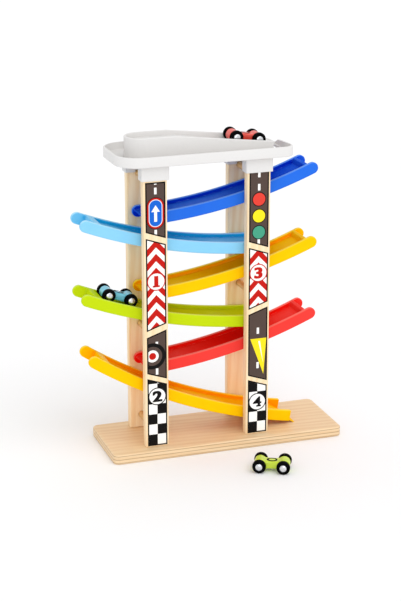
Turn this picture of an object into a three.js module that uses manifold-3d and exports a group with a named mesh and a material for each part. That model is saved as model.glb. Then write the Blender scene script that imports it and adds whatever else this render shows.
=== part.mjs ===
// Wooden car track: six curved tracks zigzag between two towers of wooden planks, under a launch tray.
// Millimetres. X runs along the base, Y to the back, Z up. The origin is the centre of the base underside.
import * as THREE from "three";
import { mergeVertices } from "three/addons/utils/BufferGeometryUtils.js";
import Module from "manifold-3d";

const wasm = await Module();
wasm.setup();

// Driving sizes
const gap = 0.3; // clearance between neighbouring pieces
const baseLength = 350;
const baseDepth = 124;
const baseHeight = 15;
const baseEdge = 2.5; // rounding of the board's edges
const baseCorner = 9;
const plankWidth = 34.6;
const plankThickness = 13;
const plankSpace = 66; // clear room between a front plank and its rear plank
const towerX = { left: -105.8, right: 46.5 };
const trackWidth = 55;
const trackWall = 6;
const trackHeight = 17;
const trackRadius = 750; // radius of the underside of every track
const trackFloorTop = 11.7; // running surface above the underside
const trackFloorThickness = 2.5;
const deckBottom = 428.5;
const wheelRadius = 9.7;
const wheelBase = 34;

const plankInnerY = plankSpace / 2;
const plankOuterY = plankInnerY + plankThickness;
const plankBottom = baseHeight + gap;
const plankTop = deckBottom - gap;
const trackHalf = trackWidth / 2;
const channelHalf = trackHalf - trackWall;

// Colours
const material = (color, roughness, metalness = 0) => () =>
  new THREE.MeshStandardMaterial({ color, roughness, metalness });
const wood = material(0xe9cfa4, 0.6);
const dowelWood = material(0xc79a63, 0.6);
const steel = material(0xc9ccd0, 0.3, 1);
const trayPlastic = material(0xdedbd6, 0.45);
const tyre = material(0x17171a, 0.5);

const part = new THREE.Group();

// Helpers: solids from geometry, and named pieces from solids

function solid(geometry) {
  const bare = geometry.clone();
  bare.deleteAttribute("normal");
  bare.deleteAttribute("uv");
  const merged = mergeVertices(bare, 1e-4);
  return new wasm.Manifold(
    new wasm.Mesh({
      numProp: 3,
      vertProperties: new Float32Array(merged.attributes.position.array),
      triVerts: new Uint32Array(merged.index.array),
    }),
  );
}

function joined(solids) {
  return solids.reduce((sum, next) => sum.add(next));
}

function addPiece(name, body, makeMaterial) {
  const made = body.getMesh();
  const geometry = new THREE.BufferGeometry();
  geometry.setAttribute("position", new THREE.BufferAttribute(new Float32Array(made.vertProperties), 3));
  geometry.setIndex(new THREE.BufferAttribute(new Uint32Array(made.triVerts), 1));
  geometry.computeVertexNormals();
  const mesh = new THREE.Mesh(geometry, makeMaterial());
  mesh.name = name;
  part.add(mesh);
}

// Helpers: outlines and slabs

function arcPoints(x, y, radius, from, to, steps) {
  return Array.from({ length: steps + 1 }, (_, i) => {
    const angle = from + ((to - from) * i) / steps;
    return new THREE.Vector2(x + radius * Math.cos(angle), y + radius * Math.sin(angle));
  });
}

function roundedRectangle(x0, y0, x1, y1, radius, steps = 4) {
  const quarter = Math.PI / 2;
  return new THREE.Shape([
    ...arcPoints(x1 - radius, y0 + radius, radius, -quarter, 0, steps),
    ...arcPoints(x1 - radius, y1 - radius, radius, 0, quarter, steps),
    ...arcPoints(x0 + radius, y1 - radius, radius, quarter, 2 * quarter, steps),
    ...arcPoints(x0 + radius, y0 + radius, radius, 2 * quarter, 3 * quarter, steps),
  ]);
}

// An outline drawn in plan, standing between two heights; the bevel stays inside the outline.
function plate(shape, z0, z1, bevel = 0, bevelSegments = 2) {
  const geometry = new THREE.ExtrudeGeometry(shape, {
    depth: z1 - z0 - 2 * bevel,
    bevelEnabled: bevel > 0,
    bevelThickness: bevel,
    bevelSize: bevel,
    bevelOffset: -bevel,
    bevelSegments,
  });
  geometry.translate(0, 0, z0 + bevel);
  return geometry;
}

// An outline drawn in the side view (X to the right, Z up), reaching from one Y to another.
function sideSlab(shape, y0, y1, bevel = 0, bevelSegments = 2) {
  return plate(shape, -y1, -y0, bevel, bevelSegments).rotateX(Math.PI / 2);
}

function box(x0, x1, y0, y1, z0, z1) {
  return new THREE.BoxGeometry(x1 - x0, y1 - y0, z1 - z0).translate(
    (x0 + x1) / 2,
    (y0 + y1) / 2,
    (z0 + z1) / 2,
  );
}

// An outline drawn in the end view (Y to the right, Z up), reaching from one X to another
function endSlab(shape, x0, x1) {
  return plate(shape, x0, x1)
    .rotateX(Math.PI / 2)
    .rotateZ(Math.PI / 2);
}

// A round bar along Y
function bar(radius, x, z, y0, y1, segments = 12) {
  return new THREE.CylinderGeometry(radius, radius, y1 - y0, segments).translate(x, (y0 + y1) / 2, z);
}

// Tracks: each is an arc about its own centre, from a low end to a high end

// The end block across the channel near the high end, measured back from the tips of the side walls
const stopOnRight = { from: 13, to: 24 };
const stopOnLeft = { from: 19, to: 30 };
const trackEdge = 1.5; // chamfer on the edges of the side walls
const lowEndSetback = 3; // the floor stops this far before the tips of the walls at the low end
const bite = 1; // how far one solid runs into another that it is joined to
const levelStep = 55.2; // from the low end of one track to the low end of the next
const lowestLow = 118.6; // underside of the red track at its low end
const leftLow = -119;
const leftHigh = -208;
const rightLow = 66;
const rightHigh = 143;
const exitLow = baseLength / 2 - 68; // tips of the exit track's walls over the base
const exitHigh = -baseLength / 2 - 23.7;
const exitLift = 3.9; // the exit track's underside above the base at its low end

function zigzag(name, color, level, lowSlope) {
  const risesRight = level % 2 === 0;
  return {
    name,
    color,
    lowX: risesRight ? leftLow : rightLow,
    highX: risesRight ? rightHigh : leftHigh,
    lowZ: lowestLow + level * levelStep,
    lowSlope,
  };
}

// The centre of a track's arc follows from its low end and its slope in degrees there.
function withCentre(track) {
  const tilt = THREE.MathUtils.degToRad(track.lowSlope);
  const rise = Math.sign(track.highX - track.lowX);
  return {
    ...track,
    centreX: track.lowX - rise * trackRadius * Math.sin(tilt),
    centreZ: track.lowZ + trackRadius * Math.cos(tilt),
  };
}

const blueTrack = withCentre(zigzag("track_1_blue", 0x2f74e8, 4, 1.9));
const lightBlueTrack = withCentre(zigzag("track_2_light_blue", 0x8fcff5, 3, 0.7));
const yellowTrack = withCentre(zigzag("track_3_yellow", 0xf6c20c, 2, 2.1));
const greenTrack = withCentre(zigzag("track_4_green", 0xc3d72a, 1, 1.3));
const redTrack = withCentre(zigzag("track_5_red", 0xe8403c, 0, 2.6));
const exitTrack = withCentre({
  name: "track_6_exit",
  color: 0xf6c20c,
  lowX: exitLow,
  highX: exitHigh,
  lowZ: baseHeight + exitLift,
  lowSlope: 9,
});
const tracks = [blueTrack, lightBlueTrack, yellowTrack, greenTrack, redTrack, exitTrack];

// Angle from straight below the arc centre to the place of the track that lies at x
function angleAt(track, x, height) {
  return Math.asin((x - track.centreX) / (trackRadius - height));
}

function pointAt(track, angle, height) {
  const radius = trackRadius - height;
  return new THREE.Vector2(
    track.centreX + radius * Math.sin(angle),
    track.centreZ - radius * Math.cos(angle),
  );
}

// A band of the arc between two heights above the underside; its ends are cut square or rounded.
function arcBand(track, xFrom, xTo, bottom, top, roundFrom = false, roundTo = false) {
  const longSteps = 12;
  const capSteps = 6;
  const middle = (bottom + top) / 2;
  const capRadius = (top - bottom) / 2;
  const inset = (round) => (round ? capRadius : 0);
  const quarter = Math.PI / 2;
  const from = angleAt(track, xFrom + inset(roundFrom), middle) - quarter;
  const to = angleAt(track, xTo - inset(roundTo), middle) - quarter;
  const cap = (angle, start) => {
    const centre = pointAt(track, angle + quarter, middle);
    return arcPoints(centre.x, centre.y, capRadius, start, start + Math.PI, capSteps).slice(1, -1);
  };
  return new THREE.Shape([
    ...arcPoints(track.centreX, track.centreZ, trackRadius - bottom, from, to, longSteps),
    ...(roundTo ? cap(to, to) : []),
    ...arcPoints(track.centreX, track.centreZ, trackRadius - top, to, from, longSteps),
    ...(roundFrom ? cap(from, from + Math.PI) : []),
  ]);
}

const pegRadius = 3;
const pegDepth = 6;
const pegBossRadius = 6.5;

// Where a track is pegged to a plank: the middle of its wall on the tower's centre line
function pegPoint(track, tower) {
  return pointAt(track, angleAt(track, tower, trackHeight / 2), trackHeight / 2);
}

function trackPegs(track) {
  const pegs = [];
  for (const tower of Object.values(towerX)) {
    const at = pegPoint(track, tower);
    for (const side of [-1, 1]) {
      const wall = side * (trackHalf - trackEdge - bite);
      const face = side * (plankInnerY - gap);
      const tip = side * (plankInnerY + pegDepth);
      pegs.push(solid(bar(pegBossRadius, at.x, at.y, Math.min(wall, face), Math.max(wall, face))));
      pegs.push(solid(bar(pegRadius, at.x, at.y, Math.min(wall, tip), Math.max(wall, tip))));
    }
  }
  return pegs;
}

const exitTongueRun = 30;
const exitTongueReach = 8; // the tongue runs on past the walls
const exitTongueThickness = 2.2;
const exitTongueLip = 0.6;

// The last track ends in a tongue that leads from its floor down to the base.
function exitTongue(track) {
  const startX = track.lowX + exitTongueReach - exitTongueRun;
  const start = pointAt(track, angleAt(track, startX, trackFloorTop), trackFloorTop);
  const end = new THREE.Vector2(track.lowX + exitTongueReach, baseHeight + gap);
  const outline = new THREE.Shape([
    new THREE.Vector2(start.x, start.y - exitTongueThickness),
    new THREE.Vector2(end.x - exitTongueThickness, end.y),
    end,
    new THREE.Vector2(end.x, end.y + exitTongueLip),
    new THREE.Vector2(start.x, start.y),
  ]);
  return solid(sideSlab(outline, -channelHalf - bite, channelHalf + bite));
}

function buildTrack(track) {
  const isExit = track === exitTrack;
  const left = Math.min(track.lowX, track.highX);
  const right = Math.max(track.lowX, track.highX);
  const highIsRight = track.highX > track.lowX;
  const wallShape = arcBand(track, left, right, 0, trackHeight, true, !isExit);
  const stop = highIsRight ? stopOnRight : stopOnLeft;
  const inward = highIsRight ? -1 : 1;
  const stopOuter = track.highX + inward * stop.from;
  const stopInner = track.highX + inward * stop.to;
  const floorSetback = isExit ? exitTongueRun - exitTongueReach : lowEndSetback;
  const floorEnd = track.lowX - inward * floorSetback;
  const floorShape = arcBand(
    track,
    Math.min(floorEnd, stopOuter),
    Math.max(floorEnd, stopOuter),
    trackFloorTop - trackFloorThickness,
    trackFloorTop,
  );
  const stopShape = arcBand(
    track,
    Math.min(stopInner, stopOuter),
    Math.max(stopInner, stopOuter),
    trackFloorTop - trackFloorThickness,
    trackHeight,
  );
  const solids = [
    solid(sideSlab(wallShape, -trackHalf, -channelHalf, trackEdge, 1)),
    solid(sideSlab(wallShape, channelHalf, trackHalf, trackEdge, 1)),
    solid(sideSlab(floorShape, -channelHalf - bite, channelHalf + bite)),
    solid(sideSlab(stopShape, -channelHalf - bite, channelHalf + bite)),
    ...trackPegs(track),
  ];
  if (isExit) solids.push(exitTongue(track));
  addPiece(track.name, joined(solids), material(track.color, 0.35));
}

tracks.forEach(buildTrack);

// Planks: rounded boards with blind holes for the track pegs and the cross dowels

const dowelRadius = 4.8;
const dowelDepth = 7;
const topDowel = deckBottom - 27;
const dowelHeights = {
  left: [topDowel, pegPoint(greenTrack, towerX.left).y - 29, baseHeight + 20],
  right: [topDowel, pegPoint(yellowTrack, towerX.right).y - 39],
};
const dowelNames = ["top", "middle", "low"];
const plankCorner = 2;
const screwShankRadius = 1.8;
const screwHoleRadius = screwShankRadius + gap;
const screwLength = baseHeight + 14; // to the end of its hole

function buildPlank(towerName, side) {
  const x = towerX[towerName];
  const front = side < 0 ? -plankOuterY : plankInnerY;
  const outline = roundedRectangle(
    x - plankWidth / 2,
    front,
    x + plankWidth / 2,
    front + plankThickness,
    plankCorner,
    3,
  );
  let plank = solid(plate(outline, plankBottom, plankTop));
  const drill = (radius, holeX, holeZ, depth) => {
    const mouth = side * (plankInnerY - 1);
    const end = side * (plankInnerY + depth + gap);
    const hole = bar(radius + gap, holeX, holeZ, Math.min(mouth, end), Math.max(mouth, end));
    plank = plank.subtract(solid(hole));
  };
  for (const track of tracks) {
    const at = pegPoint(track, x);
    drill(pegRadius, at.x, at.y, pegDepth);
  }
  for (const height of dowelHeights[towerName]) drill(dowelRadius, x, height, dowelDepth);
  const screwHole = new THREE.CylinderGeometry(screwHoleRadius, screwHoleRadius, screwLength, 12)
    .rotateX(Math.PI / 2)
    .translate(x, front + plankThickness / 2, screwLength / 2 + gap);
  plank = plank.subtract(solid(screwHole));
  addPiece(`plank_${side < 0 ? "front" : "rear"}_${towerName}`, plank, wood);
}

for (const towerName of Object.keys(towerX)) {
  for (const side of [-1, 1]) buildPlank(towerName, side);
  dowelHeights[towerName].forEach((height, i) => {
    const reach = plankInnerY + dowelDepth;
    const dowel = bar(dowelRadius, towerX[towerName], height, -reach, reach, 20);
    addPiece(`dowel_${towerName}_${dowelNames[i]}`, solid(dowel), dowelWood);
  });
}

// Base board with a countersunk screw up into each plank

const screwHeadRadius = 4.2;
const screwHeadHeight = 3;
const screwRecess = 1; // the head sits this far inside the underside
const screwPoint = 6;

// The middle of each plank in plan
function plankPlaces() {
  const places = [];
  for (const [towerName, x] of Object.entries(towerX)) {
    for (const side of [-1, 1]) {
      const name = `${side < 0 ? "front" : "rear"}_${towerName}`;
      places.push({ name, x, y: side * (plankInnerY + plankThickness / 2) });
    }
  }
  return places;
}

// A turned solid standing on the Z axis, from [radius, height] points
function turned(profile, segments) {
  const points = profile.map(([radius, height]) => new THREE.Vector2(radius, height));
  return new THREE.LatheGeometry(points, segments).rotateX(Math.PI / 2);
}

let base = solid(
  plate(
    roundedRectangle(-baseLength / 2, -baseDepth / 2, baseLength / 2, baseDepth / 2, baseCorner),
    0,
    baseHeight,
    baseEdge,
  ),
);
for (const place of plankPlaces()) {
  const sink = turned(
    [
      [0, -1],
      [screwHeadRadius + gap, -1],
      [screwHeadRadius + gap, screwRecess],
      [screwHoleRadius, screwRecess + screwHeadHeight],
      [screwHoleRadius, baseHeight + 1],
      [0, baseHeight + 1],
    ],
    16,
  ).translate(place.x, place.y, 0);
  base = base.subtract(solid(sink));
  const screw = turned(
    [
      [0, screwRecess],
      [screwHeadRadius, screwRecess],
      [screwShankRadius, screwRecess + screwHeadHeight],
      [screwShankRadius, screwLength - screwPoint],
      [0, screwLength - 1],
    ],
    14,
  ).translate(place.x, place.y, 0);
  addPiece(`base_screw_${place.name}`, solid(screw), steel);
}
addPiece("base_board", base, wood);

// Launch tray: a rimmed deck with plank sockets below and a raised ramp on top

const tray = {
  left: towerX.left - 52.7,
  right: towerX.right + 50.5,
  halfDepth: plankOuterY + 12,
  leftCorner: 34,
  rightCorner: 16,
  rimTop: deckBottom + 14.5,
  wall: 3,
  deck: 3,
};
// The rim falls to a low lip round the rear right corner.
const rimGap = { left: -20, start: -40, front: 6, dip: 3.2, fall: 14, lip: 1.5 };
const ramp = {
  left: towerX.left - 29.8,
  right: towerX.right + 29.5,
  halfWidth: 25,
  wall: 3.2,
  wallTop: deckBottom + 34,
  wallBend: towerX.left + 37.8, // the tops of the walls slope down after this
  wallSlope: 0.12,
  floorTop: deckBottom + 26.2,
  floorBend: towerX.left + 50.8, // the level launch place ends here
  floorSlope: 0.158,
  shell: 2.5,
};
const rearWallDrop = { from: towerX.right + 3.5, to: towerX.right + 17.5, end: deckBottom + 7.5 };
const exitHole = { left: towerX.right + 19.5, right: towerX.right + 45.5 };
const socket = { frontBottom: deckBottom - 21, rearBottom: deckBottom - 25.5, wall: 2.4 };

function wallTopAt(x) {
  return ramp.wallTop - Math.max(0, x - ramp.wallBend) * ramp.wallSlope;
}

function floorTopAt(x) {
  return ramp.floorTop - Math.max(0, x - ramp.floorBend) * ramp.floorSlope;
}

// Plan of the ramp: a rounded left end and a straight right end
function rampPlan(inset, right) {
  const radius = ramp.halfWidth - inset;
  const centre = ramp.left + ramp.halfWidth;
  return new THREE.Shape([
    new THREE.Vector2(right, -radius),
    new THREE.Vector2(right, radius),
    ...arcPoints(centre, 0, radius, Math.PI / 2, (3 * Math.PI) / 2, 18),
  ]);
}

// Side view of everything between a height and a surface that bends once
function rampSide(topAt, bendX, bottom, right) {
  return new THREE.Shape([
    new THREE.Vector2(ramp.left - 1, bottom),
    new THREE.Vector2(right, bottom),
    new THREE.Vector2(right, topAt(right)),
    new THREE.Vector2(bendX, topAt(bendX)),
    new THREE.Vector2(ramp.left - 1, topAt(ramp.left)),
  ]);
}

// Plan of the tray: wide corners on the left, tight ones on the right
function trayPlan(inset) {
  const quarter = Math.PI / 2;
  const leftRadius = tray.leftCorner - inset;
  const rightRadius = tray.rightCorner - inset;
  const leftX = tray.left + tray.leftCorner;
  const rightX = tray.right - tray.rightCorner;
  const leftY = tray.halfDepth - tray.leftCorner;
  const rightY = tray.halfDepth - tray.rightCorner;
  return new THREE.Shape([
    ...arcPoints(rightX, -rightY, rightRadius, -quarter, 0, 6),
    ...arcPoints(rightX, rightY, rightRadius, 0, quarter, 6),
    ...arcPoints(leftX, leftY, leftRadius, quarter, 2 * quarter, 8),
    ...arcPoints(leftX, -leftY, leftRadius, 2 * quarter, 3 * quarter, 8),
  ]);
}

function buildTray() {
  const reach = ramp.halfWidth + 1;
  const underFloor = (x) => floorTopAt(x) - ramp.shell;
  const hull = (inset, topAt, bendX, bottom, right) =>
    solid(plate(rampPlan(inset, right), bottom, ramp.wallTop + 1)).intersect(
      solid(sideSlab(rampSide(topAt, bendX, bottom, right), -reach, reach)),
    );
  let body = solid(plate(trayPlan(0), deckBottom, tray.rimTop, 1, 2));
  body = body.subtract(solid(plate(trayPlan(tray.wall), deckBottom + tray.deck, tray.rimTop + 1)));
  const lowRim = deckBottom + tray.deck + rimGap.lip;
  const rimCut = new THREE.Shape([
    new THREE.Vector2(rimGap.start, tray.rimTop),
    new THREE.Vector2(rimGap.front, tray.rimTop - rimGap.dip),
    new THREE.Vector2(rimGap.front + rimGap.fall, lowRim),
    new THREE.Vector2(tray.halfDepth + 1, lowRim),
    new THREE.Vector2(tray.halfDepth + 1, tray.rimTop + 1),
    new THREE.Vector2(rimGap.start, tray.rimTop + 1),
  ]);
  body = body.subtract(solid(endSlab(rimCut, rimGap.left, tray.right + 1)));
  body = body.add(hull(0, wallTopAt, ramp.wallBend, deckBottom + 1, ramp.right));
  body = body.subtract(hull(ramp.wall, underFloor, ramp.floorBend, deckBottom - 1, exitHole.left - ramp.shell));
  const above = solid(plate(rampPlan(ramp.wall, exitHole.right), deckBottom - 1, ramp.wallTop + 2));
  const under = solid(
    sideSlab(rampSide(floorTopAt, ramp.floorBend, deckBottom - 2, exitHole.left), -reach, reach),
  );
  body = body.subtract(above.subtract(under));
  const rearWallCut = new THREE.Shape([
    new THREE.Vector2(rearWallDrop.from, ramp.wallTop),
    new THREE.Vector2(rearWallDrop.from, wallTopAt(rearWallDrop.from)),
    new THREE.Vector2(rearWallDrop.to, rearWallDrop.end),
    new THREE.Vector2(ramp.right + 1, rearWallDrop.end),
    new THREE.Vector2(ramp.right + 1, ramp.wallTop),
  ]);
  body = body.subtract(solid(sideSlab(rearWallCut, ramp.halfWidth - ramp.wall, reach)));
  for (const place of plankPlaces()) {
    const halfX = plankWidth / 2 + gap;
    const halfY = plankThickness / 2 + gap;
    const bottom = place.y < 0 ? socket.frontBottom : socket.rearBottom;
    const outer = box(
      place.x - halfX - socket.wall,
      place.x + halfX + socket.wall,
      place.y - halfY - socket.wall,
      place.y + halfY + socket.wall,
      bottom,
      deckBottom + 1,
    );
    const inner = box(
      place.x - halfX,
      place.x + halfX,
      place.y - halfY,
      place.y + halfY,
      bottom - 1,
      deckBottom,
    );
    const dowelNotch = box(
      place.x - dowelRadius - gap,
      place.x + dowelRadius + gap,
      -plankInnerY,
      plankInnerY,
      bottom - 1,
      topDowel + dowelRadius + gap,
    );
    body = body.add(solid(outer)).subtract(solid(inner)).subtract(solid(dowelNotch));
  }
  addPiece("launch_tray", body, trayPlastic);
}

buildTray();

// Cars: a wooden body with a barrel round each of its two steel axles and a waist between, on four wheels

const axleRadius = 1.5;
const wheelInner = 10.4;
const wheelOuter = 17.4;
const wheelEdge = 1.2;
const hubRadius = 5;
const hubDome = 1.6;
const carBody = { halfWidth: 9.8, waist: 8, bottom: -6.2, top: 5.6, barrel: 8.5, corner: 3, edge: 1.5 };

// Plan of a car body: a lobe round each axle and a narrow waist between them
function carOutline() {
  const half = wheelBase / 2;
  const nose = half + carBody.barrel;
  const corner = carBody.corner;
  const waistSteps = 6;
  const quarter = Math.PI / 2;
  const waist = (sign) =>
    Array.from({ length: waistSteps + 1 }, (_, i) => {
      const t = i / waistSteps;
      const x = sign * (half - 3) * (1 - 2 * t);
      const pinch = Math.sin(Math.PI * t) * (carBody.halfWidth - carBody.waist);
      return new THREE.Vector2(x, sign * (carBody.halfWidth - pinch));
    });
  const y = carBody.halfWidth - corner;
  return new THREE.Shape([
    ...arcPoints(nose - corner, y, corner, 0, quarter, 4),
    ...waist(1),
    ...arcPoints(-nose + corner, y, corner, quarter, 2 * quarter, 4),
    ...arcPoints(-nose + corner, -y, corner, 2 * quarter, 3 * quarter, 4),
    ...waist(-1),
    ...arcPoints(nose - corner, -y, corner, 3 * quarter, 4 * quarter, 4),
  ]);
}

// All pieces of a car, drawn about the middle of its wheelbase at axle height, then placed
function buildCar(name, color, place) {
  const half = wheelBase / 2;
  const put = (geometry) => solid(geometry.applyMatrix4(place));
  const reach = carBody.halfWidth + 1;
  const barrel = (x) => put(bar(carBody.barrel, x, 0, -reach, reach, 28));
  const bridge = put(box(-half, half, -reach, reach, carBody.bottom, carBody.top));
  const plan = put(plate(carOutline(), carBody.bottom, carBody.barrel, carBody.edge, 1));
  let body = plan.intersect(joined([bridge, barrel(half), barrel(-half)]));
  for (const [end, x] of [
    ["front", half],
    ["rear", -half],
  ]) {
    const bore = bar(axleRadius + gap, x, 0, -reach, reach, 14);
    body = body.subtract(put(bore));
    const cap = wheelOuter + gap;
    const axle = turned(
      [
        [0, -cap - hubDome],
        [hubRadius * 0.6, -cap - hubDome * 0.75],
        [hubRadius, -cap],
        [axleRadius, -cap],
        [axleRadius, cap],
        [hubRadius, cap],
        [hubRadius * 0.6, cap + hubDome * 0.75],
        [0, cap + hubDome],
      ],
      14,
    )
      .rotateX(Math.PI / 2)
      .translate(x, 0, 0);
    addPiece(`${name}_axle_${end}`, put(axle), steel);
    for (const [hand, sign] of [
      ["right", -1],
      ["left", 1],
    ]) {
      const wheel = turned(
        [
          [axleRadius + gap, wheelInner],
          [wheelRadius - wheelEdge, wheelInner],
          [wheelRadius, wheelInner + wheelEdge],
          [wheelRadius, wheelOuter - wheelEdge],
          [wheelRadius - wheelEdge, wheelOuter],
          [axleRadius + gap, wheelOuter],
          [axleRadius + gap, wheelInner],
        ],
        20,
      )
        .rotateX((sign * -Math.PI) / 2)
        .translate(x, 0, 0);
      addPiece(`${name}_wheel_${end}_${hand}`, put(wheel), tyre);
    }
  }
  addPiece(`${name}_body`, body, material(color, 0.5));
}

function placed(x, y, z, turnY, turnZ) {
  const spin = new THREE.Matrix4().makeRotationFromEuler(new THREE.Euler(0, turnY, turnZ, "ZYX"));
  return new THREE.Matrix4().makeTranslation(x, y, z).multiply(spin);
}

// The red car waits on the slope of the ramp.
const redCarX = towerX.right - 5.5;
const rampAngle = Math.atan(ramp.floorSlope);
const redCarLift = (wheelRadius + gap) / Math.cos(rampAngle);
buildCar(
  "car_red",
  0xd8412c,
  placed(redCarX, 0, floorTopAt(redCarX) + redCarLift, rampAngle, 0),
);

// The blue car runs on the green track, with both axles on its arc.
const blueCarX = -149.5;
const axleCircle = trackRadius - trackFloorTop - gap - wheelRadius;
const blueCarRadius = Math.sqrt(axleCircle ** 2 - (wheelBase / 2) ** 2);
const blueCarAngle = Math.asin((blueCarX - greenTrack.centreX) / blueCarRadius);
buildCar(
  "car_blue",
  0x4fb3cf,
  placed(blueCarX, 0, greenTrack.centreZ - blueCarRadius * Math.cos(blueCarAngle), -blueCarAngle, 0),
);

// The green car stands on the floor in front of the base.
const greenCarDistance = 83; // from the front of the base
const greenCar = { x: 32.4, y: -baseDepth / 2 - greenCarDistance, heading: -0.466 };
buildCar("car_green", 0xc4da2c, placed(greenCar.x, greenCar.y, wheelRadius, 0, greenCar.heading));

export default part;
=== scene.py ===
"""Wooden car track: zigzag tracks between two plank towers, a launch tray on top, and three small cars.

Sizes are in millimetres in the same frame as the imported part: X along the base, Y to the back, Z up.
Meshes are scaled to metres when they are made.
"""

import math

import bmesh
import bpy
from mathutils import Matrix, Vector


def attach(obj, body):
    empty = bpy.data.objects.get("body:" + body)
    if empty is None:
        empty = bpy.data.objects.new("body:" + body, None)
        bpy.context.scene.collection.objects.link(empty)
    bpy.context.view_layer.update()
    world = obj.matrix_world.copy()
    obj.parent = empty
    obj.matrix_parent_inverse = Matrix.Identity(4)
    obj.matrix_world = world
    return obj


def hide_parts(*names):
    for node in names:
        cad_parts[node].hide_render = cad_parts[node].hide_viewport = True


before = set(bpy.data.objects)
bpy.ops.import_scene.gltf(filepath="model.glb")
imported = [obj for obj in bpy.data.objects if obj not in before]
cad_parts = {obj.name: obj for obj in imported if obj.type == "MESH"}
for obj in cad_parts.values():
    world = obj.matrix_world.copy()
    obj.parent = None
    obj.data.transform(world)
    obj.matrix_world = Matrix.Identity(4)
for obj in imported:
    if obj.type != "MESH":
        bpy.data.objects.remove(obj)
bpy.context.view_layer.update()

# Sizes that the part is driven by
MM = 0.001
GAP = 0.3
BASE_LENGTH = 350
BASE_DEPTH = 124
BASE_HEIGHT = 15
BASE_CORNER = 9
BASE_EDGE = 2.5
PLANK_WIDTH = 34.6
PLANK_THICKNESS = 13
PLANK_INNER_Y = 33
PLANK_OUTER_Y = PLANK_INNER_Y + PLANK_THICKNESS
TOWER_X = {"left": -105.8, "right": 46.5}
TRACK_HALF = 27.5
TRACK_WALL = 6
TRACK_HEIGHT = 17
TRACK_RADIUS = 750
TRACK_FLOOR_TOP = 11.7
TRACK_FLOOR_THICKNESS = 2.5
CHANNEL_HALF = TRACK_HALF - TRACK_WALL
DECK_BOTTOM = 428.5
WHEEL_RADIUS = 9.7
WHEEL_BASE = 34
BITE = 1  # how far one solid runs into another that it is joined to
PAST = 1  # how far a cut runs past what it cuts

QUARTER = math.pi / 2
SMOOTH_ANGLE = math.radians(38)
PLANK_SIDES = {"front": -1, "rear": 1}


# Meshes: rings of points joined into closed solids


def link_object(name, mesh):
    made = bpy.data.objects.new(name, mesh)
    bpy.context.scene.collection.objects.link(made)
    return made


def soften(mesh):
    """Smooth shading with sharp edges kept where faces meet steeply."""
    mesh.polygons.foreach_set("use_smooth", [True] * len(mesh.polygons))
    mesh.set_sharp_from_angle(angle=SMOOTH_ANGLE)
    return mesh


def from_rings(name, rings, capped=True, closed=False):
    """A solid from rings of points in millimetres: ends capped, or the last ring joined to the first."""
    sheet = bmesh.new()
    loops = [[sheet.verts.new(Vector(p) * MM) for p in ring] for ring in rings]
    pairs = list(zip(loops, loops[1:]))
    if closed:
        pairs.append((loops[-1], loops[0]))
    for one, two in pairs:
        for i, corner in enumerate(one):
            following = (i + 1) % len(one)
            sheet.faces.new((corner, one[following], two[following], two[i]))
    if capped and not closed:
        sheet.faces.new(loops[0])
        sheet.faces.new(loops[-1])
    bmesh.ops.remove_doubles(sheet, verts=sheet.verts, dist=1e-6)
    bmesh.ops.recalc_face_normals(sheet, faces=sheet.faces)
    mesh = bpy.data.meshes.new(name)
    sheet.to_mesh(mesh)
    sheet.free()
    return link_object(name, soften(mesh))


def combine(target, others, operation):
    """Joins or cuts solids, and leaves one plain mesh."""
    for other in others:
        step = target.modifiers.new(operation, "BOOLEAN")
        step.operation = operation
        step.solver = "MANIFOLD"
        step.object = other
    bake_modifiers(target)
    for other in others:
        bpy.data.objects.remove(other)
    soften(target.data)
    return target


def bake_modifiers(target):
    """Turns what the modifiers make into the object's own mesh."""
    bpy.context.view_layer.update()
    evaluated = target.evaluated_get(bpy.context.evaluated_depsgraph_get())
    mesh = bpy.data.meshes.new_from_object(evaluated)
    mesh.name = target.name
    target.modifiers.clear()
    target.data = mesh


def place(target, matrix):
    """Moves a mesh by a matrix whose translation is in millimetres."""
    metres = matrix.copy()
    metres.translation = metres.translation * MM
    target.data.transform(metres)
    return target


def finish_piece(piece, material, body, slot, *nodes):
    """Gives a piece its finish, the body that it rides on and the solids that it stands for."""
    piece.data.materials.clear()
    piece.data.materials.append(material)
    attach(piece, body)
    if nodes:
        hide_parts(*nodes)
    return piece


# Outlines: lists of (u, v, normal u, normal v), in order round the shape


def arc(u, v, radius, start, end, steps):
    points = []
    for i in range(steps + 1):
        angle = start + (end - start) * i / steps
        points.append((
            u + radius * math.cos(angle),
            v + radius * math.sin(angle),
            math.cos(angle),
            math.sin(angle),
        ))
    return points


def rounded_rectangle(u0, v0, u1, v1, radius, steps=6):
    return (
        arc(u1 - radius, v0 + radius, radius, -QUARTER, 0, steps)
        + arc(u1 - radius, v1 - radius, radius, 0, QUARTER, steps)
        + arc(u0 + radius, v1 - radius, radius, QUARTER, 2 * QUARTER, steps)
        + arc(u0 + radius, v0 + radius, radius, 2 * QUARTER, 3 * QUARTER, steps)
    )


def circle(u, v, radius, steps=40):
    return arc(u, v, radius, 0, 4 * QUARTER, steps)[:-1]


def refined(outline, longest):
    """Adds points on the straight stretches, so that a bent outline stays smooth."""
    dense = []
    for one, two in zip(outline, outline[1:] + outline[:1]):
        length = math.hypot(two[0] - one[0], two[1] - one[1])
        parts = max(1, math.ceil(length / longest))
        for i in range(parts):
            share = i / parts
            dense.append(tuple(a + (b - a) * share for a, b in zip(one, two)))
    return dense


def plan_point(u, v, height):
    return (u, v, height)


def side_point(u, v, depth):
    return (u, depth, v)


def end_point(u, v, along):
    return (along, u, v)


def prism(name, outline, low, high, point=plan_point):
    """A slab with sharp edges, from (u, v) points."""
    return from_rings(name, [[point(u, v, level) for u, v in outline] for level in (low, high)])


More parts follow.
